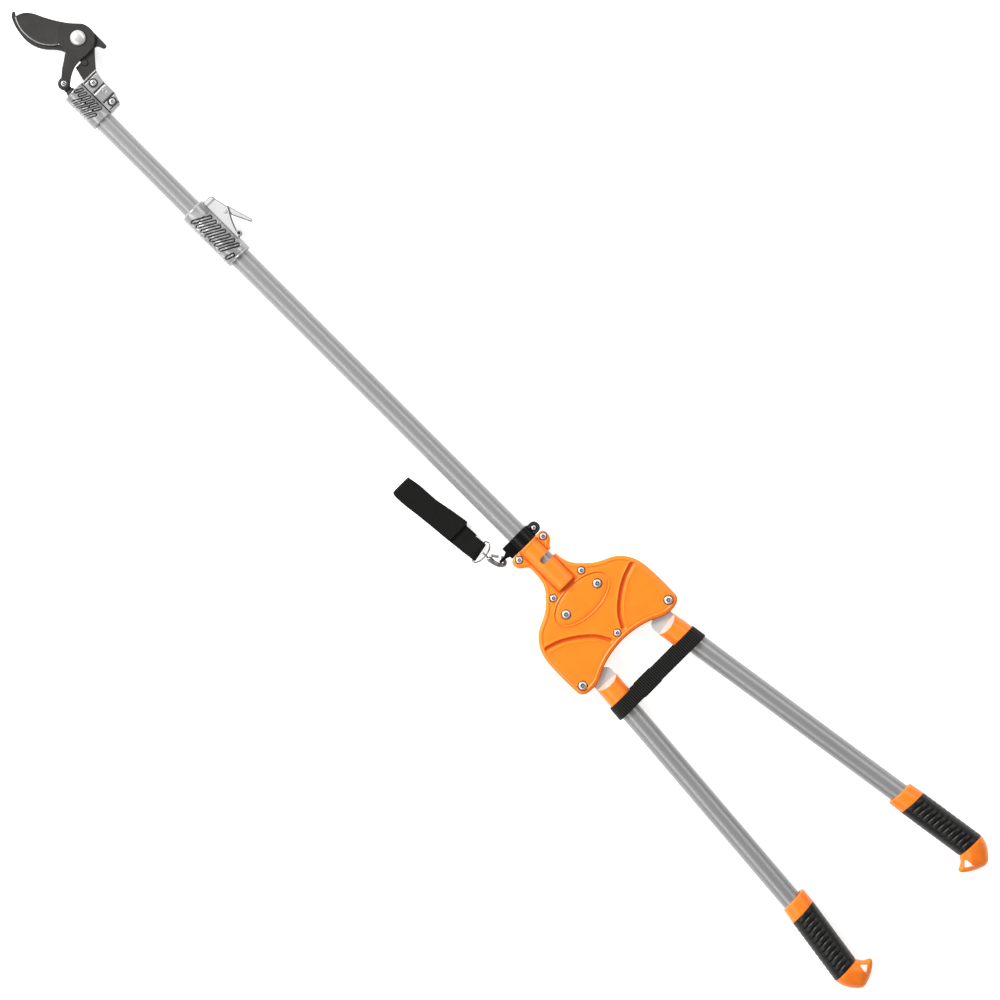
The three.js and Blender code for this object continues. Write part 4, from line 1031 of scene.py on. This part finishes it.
def push_link():
    profile = [(670, 0), (670, 5.2), (682.6, 5.2), (683, 5.9)]
    profile += [(686.4, 5.9), (687, 5.4), (687.3, 4.6), (692, 4.6), (692, 0)]
    made = spun("push_link", profile, (0, 3.7, -1.2), CAST, "X", 64)
    eye = [(-6, 0), (-6, 6), (-5.6, 6.4), (-0.8, 6.4), (-0.4, 6), (-0.4, 0)]
    combine(made, spun("eye", eye, (*ARM_PIN, 0)), "UNION")
    combine(made, round_bar("tail", 652, 676, 4, (2.2, 0), sides=40), "UNION")
    combine(made, box((637.7, 656), (-0.2, 4.6), (-3, 3)), "UNION")
    combine(made, box((687.35, 710), (-12, 18), (-0.4, 12)))
    drill(made, *ARM_PIN, 2.3)
    # the knuckle and the eye past x 682.4 take the dark steel
    paint(sharpen(made), DARK_STEEL_AND_EDGE_SHADE, lambda p, n: p[:, 0] > 682.4)
    return place(made, "link", "push_link")


push_link()

CLAMP_PIN = (441.4, -27.5)
CLAMP_SCREW = (411, -20.6)
BRACKET_OUTLINE = path(
    (407, -14), (407, -18), (423, -22.5, 434, -28.8), (440, -32.2), (443.5, -34.2), (461, -30.2),
    (468.7, -30, 468.9, -25), (469.2, -14),
)


def clamp_bracket():
    border = refine(anticlockwise(BRACKET_OUTLINE), 1.2)

    def top(p):
        fold = 0.5 * (1 - ease(0.4, 1.0, np.abs(p[:, 0] - 462.5)))
        return 8 - rounding(distance(p, border, True), 1.3) - fold

    made = relief(
        "clamp_bracket",
        BRACKET_OUTLINE,
        top,
        lambda p: -8 + rounding(distance(p, border, True), 0.6),
        PALE,
        step=1.2,
        rings=(0.2, 0.6, 1.0, 1.3),
        features=[(refine(np.array([(462.5, -29), (462.5, -15)]), 1.0, False), (-1, -0.4, 0, 0.4, 1), False)],
        spacing=2.5,
    )
    boss = [(-8, 0), (-8, 3.2), (-7.6, 3.6), (7.6, 3.6), (8, 3.2), (8, 0)]
    combine(made, spun("boss", boss, (*CLAMP_SCREW, 0)), "UNION")
    combine(made, box((400, 463), (-50, -8), (-6.2, 6.2)))
    combine(made, round_bar("seat", 380, 480, 17.6))
    drill(made, *CLAMP_PIN, 2.3)
    drill(made, *CLAMP_SCREW, 2.3)
    # painted shade: the bracket's sides and the rounded edges of its upper face are painted dark
    paint(sharpen(made), DARK_STEEL_AND_EDGE_SHADE, lambda p, n: (n[:, 2] < 0.93) & (p[:, 2] > 6.2))
    return place(made, "case", "clamp_bracket")


clamp_bracket()


def pin(name, body, x, y, radius, end, finish):
    tip = radius - 0.4
    profile = [(-end, 0), (-end, tip), (0.4 - end, radius), (end - 0.4, radius), (end, tip), (end, 0)]
    return place(spun(name, profile, (x, y, 0), finish, sides=40), body, name)


pin("clamp_pin", "case", *CLAMP_PIN, 2.0, 9, BRIGHT)
pin("clamp_screw", "case", *CLAMP_SCREW, 2.0, 9, COATED)

LEVER_OUTLINE = path(
    (436, -31), (434, -30), (411.5, -40.8), (408.6, -42.6, 410.4, -43.4), (412.4, -44.4, 417, -43),
    (444.5, -34.9), (446, -31),
)
clamp_lever = pad_plate("clamp_lever", LEVER_OUTLINE, -5.8, 5.8, 1.3, PALE, 1.2, 2.5)
combine(clamp_lever, spun("cam", rod(-5.8, 5.8, 6.4), (*CLAMP_PIN, 0)), "UNION")
drill(clamp_lever, *CLAMP_PIN, 2.3)
# painted shade: the lever's sides and the rounded edges of its upper face are painted dark
paint(sharpen(clamp_lever), DARK_STEEL_AND_EDGE_SHADE, lambda p, n: (n[:, 2] < 0.93) & (p[:, 2] > 4.2))
place(clamp_lever, "clamp_handle", "clamp_lever")

# ---------------------------------------------------------------- strap collar, snap hook and wrist strap

COLLAR_SCREW = (-109.6, -20.6)


def strap_collar():
    start, end = -118.2, -100.4
    profile = [(start, 0), (start, 15.3), (start + 0.7, 16), (end - 0.7, 16), (end, 15.3), (end, 0)]
    made = spun("strap_collar", profile, (0, 0, 0), BLACK, "X", 96)
    rectangle = np.array([(start, 6), (end, 6), (end, 26.2), (start, 26.2)])
    combine(made, pad_plate("shoulder", rectangle, -8, 8, 0.7), "UNION")
    ear = path((-102, -6), (-102, -21), (-102, -31, -117.2, -31, -117.2, -21), (-117.2, -6), steps=20)
    combine(made, pad_plate("ear", ear, -6, 6, 0.7), "UNION")
    lug = path(
        (-115.6, 24), (-113.4, 29, -112.8, 31), (-112.6, 40), (-108.6, 40), (-108.4, 31),
        (-107.8, 29, -105.6, 24),
    )
    combine(made, pad_plate("lug", lug, -6, 6, 0.6, step=1.0, spacing=2.0), "UNION")
    combine(made, round_bar("bore", -125, -95, 13.8))
    combine(made, box((-125, -95), (-40, -10), (-0.6, 0.6)))
    combine(made, round_bar("eye", -118, -104, 3.6, (35, 0), sides=40))
    drill(made, *COLLAR_SCREW, 2.0)
    drill(made, *COLLAR_SCREW, 4.0, 4.1, 30)
    paint(sharpen(made), GREY_BLACK, lambda p, n: (p[:, 1] < -16.6) & (p[:, 2] > 5.2) & (n[:, 2] > 0.9))
    return place(made, "case", "strap_collar")


strap_collar()
button_head("strap_collar_screw", "case", *COLLAR_SCREW, 1.7, 3.0, 4.4, -5.6, 1.6)

hook_line = curve(
    [
        (-106.4, 33.4, 0), (-110.6, 34.0, 0), (-114.6, 34.8, 0), (-116.2, 37.6, 0), (-115.0, 40.6, 0),
        (-111, 43.4, 0), (-105, 45.4, 0), (-100, 46.0, 0), (-96, 46.2, 0),
    ],
    8,
)
hook_share = np.linspace(0, 1, len(hook_line))
hook_size = np.interp(hook_share, [0, 0.06, 0.5, 0.8, 0.93, 1], [1.3, 2.0, 2.6, 3.3, 3.7, 2.4])
place(sweep("snap_hook", hook_line, hook_size, HOOK, 24), "snap", "snap_hook")
gate_line = curve([(-104.6, 36.2, 0), (-101, 38.6, 0), (-98, 40.4, 0), (-97.4, 42, 0)], 6)
place(sweep("snap_hook_gate", gate_line, 1.9, HOOK, 20), "snap_gate", "snap_hook_gate")
gate_pin = [(-3.1, 0), (-3.1, 1.0), (-2.9, 1.2), (2.9, 1.2), (3.1, 1.0), (3.1, 0)]
place(spun("gate_pin", gate_pin, (-100.4, 43.9, 0), COATED, sides=32), "snap")

SWIVEL = np.array([-91.4, 46.4, 0])
around = np.linspace(0, 2 * math.pi, 48, endpoint=False)
eye_line = SWIVEL + 3.4 * np.stack([np.cos(around), 0 * around, np.sin(around)], axis=1)
place(sweep("swivel_eye", eye_line, 1.2, HOOK, 20, closed=True), "swivel", "swivel_eye")

RING_BOW = curve(
    [
        (-79, 34.6, -9), (-83.5, 32.6, -8), (-88.6, 36.4, -5), (-91.2, 43, -1.6), (-91.9, 49, -0.6),
        (-91.6, 56, -2.6), (-88.6, 62, -6), (-84.6, 63, -8.4),
    ],
    8,
)
RING_BAR = refine(np.array([(-84.6, 63, -8.4), (-79, 34.6, -9.0)]), 2.0, False)
ring_line = np.concatenate([RING_BOW, RING_BAR[1:-1]])
place(sweep("d_ring", ring_line, 0.95, HOOK, 20, closed=True), "strap", "d_ring")


def tape(name, low_edge, high_edge, thickness, finish, across, rib=1.5):
    """A woven tape between two edge lines, ribbed across and a little thinner at its selvedges."""
    low_edge, high_edge = np.asarray(low_edge, float), np.asarray(high_edge, float)
    steps = np.linalg.norm(np.diff((low_edge + high_edge) / 2, axis=0), axis=1)
    length = np.concatenate([[0], np.cumsum(steps)])
    stations = np.linspace(0, length[-1], int(length[-1] / rib * 4) + 1)
    low_edge = np.stack([np.interp(stations, length, low_edge[:, k]) for k in range(3)], axis=1)
    high_edge = np.stack([np.interp(stations, length, high_edge[:, k]) for k in range(3)], axis=1)
    ribs = 1 + 0.2 * np.cos(2 * math.pi * stations / rib)
    middle = (low_edge + high_edge) / 2
    tangent = np.gradient(middle, axis=0)
    side = high_edge - low_edge
    normal = np.cross(tangent, side)
    normal /= np.linalg.norm(normal, axis=1)[:, None]
    shares = np.linspace(0, 1, across + 1)
    half = thickness / 2 * (1 - 0.55 * np.abs(2 * shares - 1) ** 10)
    points = []
    for a, b, n, r in zip(low_edge, high_edge, normal, ribs):
        points.extend(a + (b - a) * s + n * h * r for s, h in zip(shares, half))
        points.extend(a + (b - a) * s - n * h * r for s, h in zip(shares[::-1], half[::-1]))
    ring = 2 * (across + 1)
    faces = []
    for i in range(len(middle) - 1):
        a, b = i * ring, (i + 1) * ring
        faces += [(a + k, a + (k + 1) % ring, b + (k + 1) % ring, b + k) for k in range(ring)]
    last = (len(middle) - 1) * ring
    faces += [tuple(range(ring))[::-1], tuple(range(last, last + ring))]
    return mesh_piece(name, points, faces, finish, 50)


STRAP_HIGH = path(
    (-90, 60.3), (-86, 61), (-60, 65.2, -30, 67.9), (0, 70.6, 20, 73.4), (32, 75, 42, 74.6), (45.8, 74, 46.8, 70.5)
)
STRAP_LOW = np.array(
    [
        (-90, 36.4), (-80.5, 36.7), (-59.4, 39.2), (-58.8, 36.4), (-48, 37.2), (-45.8, 32.8), (-20, 37),
        (1, 41.2), (30, 43), (47, 46),
    ]
)


def strap_tape(name, line, low, slant):
    """A tape whose centre line has X and Z, cut to the strap's two edges."""
    line = np.asarray(line, float)
    x, z = line[:, 0], line[:, 1]
    lean = slant * (1 - ease(-80, -52, x))
    low_y = np.interp(x, low[:, 0], low[:, 1])
    high_y = np.interp(x, STRAP_HIGH[:, 0], STRAP_HIGH[:, 1])
    return tape(name, np.stack([x + lean, low_y, z], 1), np.stack([x - lean, high_y, z], 1), 1.7, STRAP, 14)


loop_line = curve(
    [
        (-46.4, -11.6), (-38, -12.3), (-20, -13.6), (0, -14.1), (20, -14.4), (36, -14.6), (42, -14.5),
        (44.6, -14.9), (45.9, -15.9), (44.6, -16.9), (42, -17.2), (20, -17.3), (-10, -17.3),
        (-30, -17.2), (-45, -15.9), (-60, -13.4), (-66, -12.4),
    ],
    8,
)
loop_low = STRAP_LOW.copy()
loop_low[1:3] = [(-80.5, 36.3), (-59.4, 36.4)]
strap_loop = strap_tape("strap_loop", loop_line, loop_low, 0)
tab_line = curve(
    [
        (-59.2, -8.9), (-66, -8.2), (-74, -7.0), (-79.5, -6.4), (-83.2, -7.2), (-84.3, -8.9),
        (-83.2, -10.5), (-79.5, -10.9), (-72, -11.1), (-64, -11.3),
    ],
    8,
)
strap_tab = strap_tape("strap_tab", tab_line, STRAP_LOW, 2.6)
place(strap_loop, "strap", "wrist_strap")
place(strap_tab, "strap", "wrist_strap")

# ---------------------------------------------------------------- handles

HANDLES = {
    "right": {"sign": -1, "tilt": 8.57, "offset": 22.8, "bend": 0.0, "back": 0.0},
    "left": {"sign": 1, "tilt": 4.585, "offset": 24.8, "bend": 3.985, "back": 1.8},
}
GRIP_OFFSET = 22.8
FERRULE_OFFSET = 25.7
BEND_AT = 410.2
GRIP_SLANT = 0.2
GRIP_FROM, GRIP_TO, GRIP_RADIUS = 396, 485.5, 18.2
GRIP_RINGS = 12


def handle_frame(side):
    """The matrix from a handle's own frame, along and across the handle, to the tool's frame in metres."""
    handle = HANDLES[side]
    tilt, sign = math.radians(handle["tilt"]), handle["sign"]
    rows = [
        [-math.cos(tilt), math.sin(tilt), 0, LEVER_PIVOT[0]],
        [sign * math.sin(tilt), sign * math.cos(tilt), 0, sign * LEVER_PIVOT[1]],
        [0, 0, 1, 0],
        [0, 0, 0, 1],
    ]
    return np.array(rows)


def on_tube(side):
    """The matrix that moves a grip's piece onto its tube, in the handle's frame."""
    handle = HANDLES[side]
    turn = math.radians(handle["bend"])
    c, s = math.cos(turn), math.sin(turn)
    shift = np.eye(4)
    shift[:2, 3] = -handle["back"], GRIP_OFFSET - handle["offset"]
    x, y = BEND_AT, -handle["offset"]
    about = np.eye(4)
    about[:2] = [c, -s, 0, x - c * x + s * y], [s, c, 0, y - s * x - c * y]
    return about @ shift


def move(piece, matrix):
    """Moves a piece's vertices, which are in metres with the tool's shift, by a matrix in millimetres."""
    count = len(piece.data.vertices)
    flat = np.empty(count * 3)
    piece.data.vertices.foreach_get("co", flat)
    local = flat.reshape(-1, 3) * 1000 - SHIFT
    moved = at(local @ matrix[:3, :3].T + matrix[:3, 3])
    piece.data.vertices.foreach_set("co", moved.ravel())
    if np.linalg.det(matrix[:3, :3]) < 0:
        piece.data.flip_normals()
    piece.data.update()
    return piece


def ferrule(side):
    offset = HANDLES[side]["offset"]
    start, end, radius = 15.5, 58, 16

    def outer(s, turn):
        r = radius - float(rounding(np.array(end - s), 1.0)) - float(rounding(np.array(s - start), 0.6))
        limit = 3.8 + (s - start) * 2.06
        z = r * math.sin(turn)
        soft = limit - 0.3
        if abs(z) > soft:
            z = math.copysign(soft + 0.3 * math.tanh((abs(z) - soft) / 0.6), z)
        return (s, r * math.cos(turn) - FERRULE_OFFSET, z)

    def bore(s, turn):
        r = 13.5 if s > 26.8 else 2.8
        y = -offset if s > 26.8 else -FERRULE_OFFSET
        return (s, r * math.cos(turn) + y, r * math.sin(turn))

    along = [15.5, 15.6, 15.8, 16.1, 16.6, 17.2, 17.8, 18.4, 19, 19.6, 20.2, 20.8, 21.4, 22, 22.6, 24, 26.7, 27]
    along += [34, 44, 54, 57, 57.4, 57.75, 57.94, 58]
    made = skin("ferrule_" + side, along, TURNS, outer, bore, ORANGE, 40)

    # painted highlight: the front chamfers take a pale copy of the plastic for the key light's glare on them
    def flats(p, n):
        return (p[:, 0] > 15.55) & (p[:, 0] < 23) & (np.abs(p[:, 2]) > 3.5) & (n[:, 0] < -0.2)

    return paint(made, BEVEL, flats)


def handle_tube(side):
    offset = HANDLES[side]["offset"]
    profile = [(27.2, 13.2), (400, 13.2), (400, 12), (27.2, 12)]
    return spun("handle_tube_" + side, profile, (0, -offset, 0), TUBE, "X", 96, closed=True)


def sleeve_piece(name, along, radius, finish, smooth=50):
    """A slanted sleeve on a handle: the ring planes lean forward on the pole's side."""

    def outer(s, turn):
        r = radius(s, turn)
        return (s + GRIP_SLANT * r * math.cos(turn), r * math.cos(turn) - GRIP_OFFSET, r * math.sin(turn))

    def bore(s, turn):
        return (s + GRIP_SLANT * 13.6 * math.cos(turn), 13.6 * math.cos(turn) - GRIP_OFFSET, 13.6 * math.sin(turn))

    return skin(name, along, TURNS, outer, bore, finish, smooth)


def grip(side):
    pitch = (GRIP_TO - GRIP_FROM) / GRIP_RINGS
    along = np.linspace(GRIP_FROM, GRIP_TO, GRIP_RINGS * 10 + 1)

    def radius(s, turn):
        phase = ((s - GRIP_FROM) / pitch + 0.5) % 1 - 0.5
        groove = 0.95 * math.exp(-((phase * pitch / 0.85) ** 2))
        crown = 0.35 * math.cos(math.pi * phase) ** 2
        ends = min(s - GRIP_FROM, GRIP_TO - s)
        inner_end = 0.5 if ends < 0.4 else 0
        across = -math.cos(turn)
        deep = 1.15 if across < 0.36 else 1.15 - 1.0 * min((across - 0.36) / 0.12, 1)
        deep -= 0.8 * min(max((-across - 0.45) / 0.4, 0), 1)
        return GRIP_RADIUS + 0.2 - crown * min(deep, 1) - (0 if ends < 2 else deep * groove) - inner_end

    return sleeve_piece("grip_" + side, along, radius, RUBBER)


def grip_collar(side):
    start, end = 375.5, GRIP_FROM - 0.3
    along = [start + d for d in (0, 0.15, 0.5, 1.0, 1.6, 6)] + [end - d for d in (4, 0.5, 0.1, 0)]
    sizes = [16.0, 16.6, 17.1, 17.5, 17.7, 17.9, 18.2, 18.3, 18.2, 18.0]

    def radius(s, _):
        return float(np.interp(s, along, sizes))

    return sleeve_piece("grip_collar_" + side, along, radius, ORANGE, 40)


CAP_SIDE = path(
    (489.3, -4.6), (500.5, -6.6, 511.2, -19.1), (519, -27.1, 514.5, -35.1), (509, -46.1, 501, -53.6),
    (494, -60.4, 491, -54.6), (490, -47.1, 485.5, -44.1), (482.4, -41.0),
    steps=14,
)
CAP_HOLE = path(
    (492.3, -40.5), (501.6, -40.7), (504.6, -41.1, 503, -43.3), (498.2, -48.1),
    (496.4, -49.7, 495.2, -47.5), (491.2, -42.7), (490.4, -40.7, 492.3, -40.5),
)


def end_cap(side):
    line = refine(CAP_SIDE[::-1], 1.0, False)

    def height(p):
        d = distance(p, line)
        along = p[:, 0] - (GRIP_TO + GRIP_SLANT * (p[:, 1] + GRIP_OFFSET))
        full = np.interp(along, [0, 3, 12, 22, 34], [18.2, 18.1, 15.6, 12.6, 10])
        full = np.minimum(full, 6.2 + 12 * ease(-52, -30, p[:, 1]))
        near = np.clip(d, 0, full)
        z = np.sqrt(np.maximum(full**2 - (full - near) ** 2, 0))
        hole = distance(p, CAP_HOLE, True)
        return z - 0.5 * (1 - ease(0, 1.4, hole)) * (d > 1)

    made = relief(
        "end_cap_" + side,
        CAP_SIDE,
        height,
        lambda p: -height(p),
        ORANGE,
        step=1.0,
        rings=(0.06, 0.22, 0.5, 0.95, 1.6, 2.5, 3.6, 5.0, 6.8, 9.0, 11.6),
        features=[(refine(CAP_HOLE, 1.0), (-1.4, -0.7, -0.3), True)],
        spacing=2.2,
        edge=line,
        smooth=60,
    )
    combine(made, block(CAP_HOLE, -30, 30))
    return sharpen(made, 50)


for side in HANDLES:
    body = side + "_handle"
    frame_matrix = handle_frame(side)
    for maker in (ferrule, handle_tube):
        piece = move(maker(side), frame_matrix)
        place(piece, body, f"{maker.__name__}_{side}")
    for maker in (grip_collar, grip, end_cap):
        piece = move(maker(side), frame_matrix @ on_tube(side))
        place(piece, body, f"{maker.__name__}_{side}")

# ---------------------------------------------------------------- the band that holds the handles together

BAND_FROM, BAND_TO, BAND_RADIUS = -356.8, -336.9, 17.25


def band_half(side, centre):
    sign = HANDLES[side]["sign"]
    slope = sign * math.tan(math.radians(HANDLES[side]["tilt"]))
    straight = np.linspace(0.02 * sign, centre, 60)
    level_part = np.full(60, BAND_RADIUS)
    turn = np.linspace(0, math.pi, 25)[1:-1]
    y = np.concatenate([straight, centre + sign * BAND_RADIUS * np.sin(turn), straight[::-1]])
    z = np.concatenate([level_part, BAND_RADIUS * np.cos(turn), -level_part])
    wider = 0.9 * ease(0.8, 1.8, y) * (1 - ease(29.4, 30.4, y)) if side == "left" else 0 * y
    edges = []
    for x, grow in ((BAND_FROM, -1), (BAND_TO, 1)):
        xs = np.full(len(y), x) + grow * wider
        lean = slope * ease(12, 34, np.abs(y)) * (xs - (BAND_FROM + BAND_TO) / 2)
        edges.append(np.stack([xs, y - lean, z], axis=1))
    made = tape("handle_band_" + side, edges[0], edges[1], 1.5, BAND, 12, rib=2.9)
    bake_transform(made)
    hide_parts("handle_band_" + side)


band_half("right", -57.9)
band_half("left", 54.7)

# ---------------------------------------------------------------- CAD nodes that stay

KEPT = {
    "lever_right": PALE,
    "lever_left": PALE,
    "pinion_right": GEAR,
    "pinion_left": GEAR,
    "drive_rack": GEAR,
    "lower_drive_tube": TUBE,
    "upper_pole_bush": BLACK,
    "upper_drive_rod": TUBE,
    "drive_coupler": BRASS,
    "clamp_pad": BLACK,
    "blade_pivot_nut": BRIGHT,
    "arm_nut": BRIGHT,
}
for name, finish in KEPT.items():
    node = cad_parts[name]
    for slot in node.material_slots:
        slot.material = finish
    bevel = node.modifiers.new("edges", "BEVEL")
    bevel.width = 0.0003
    bevel.segments = 2
    bevel.limit_method = "ANGLE"
    bevel.angle_limit = math.radians(40)
    bevel.harden_normals = False


bpy.context.view_layer.update()
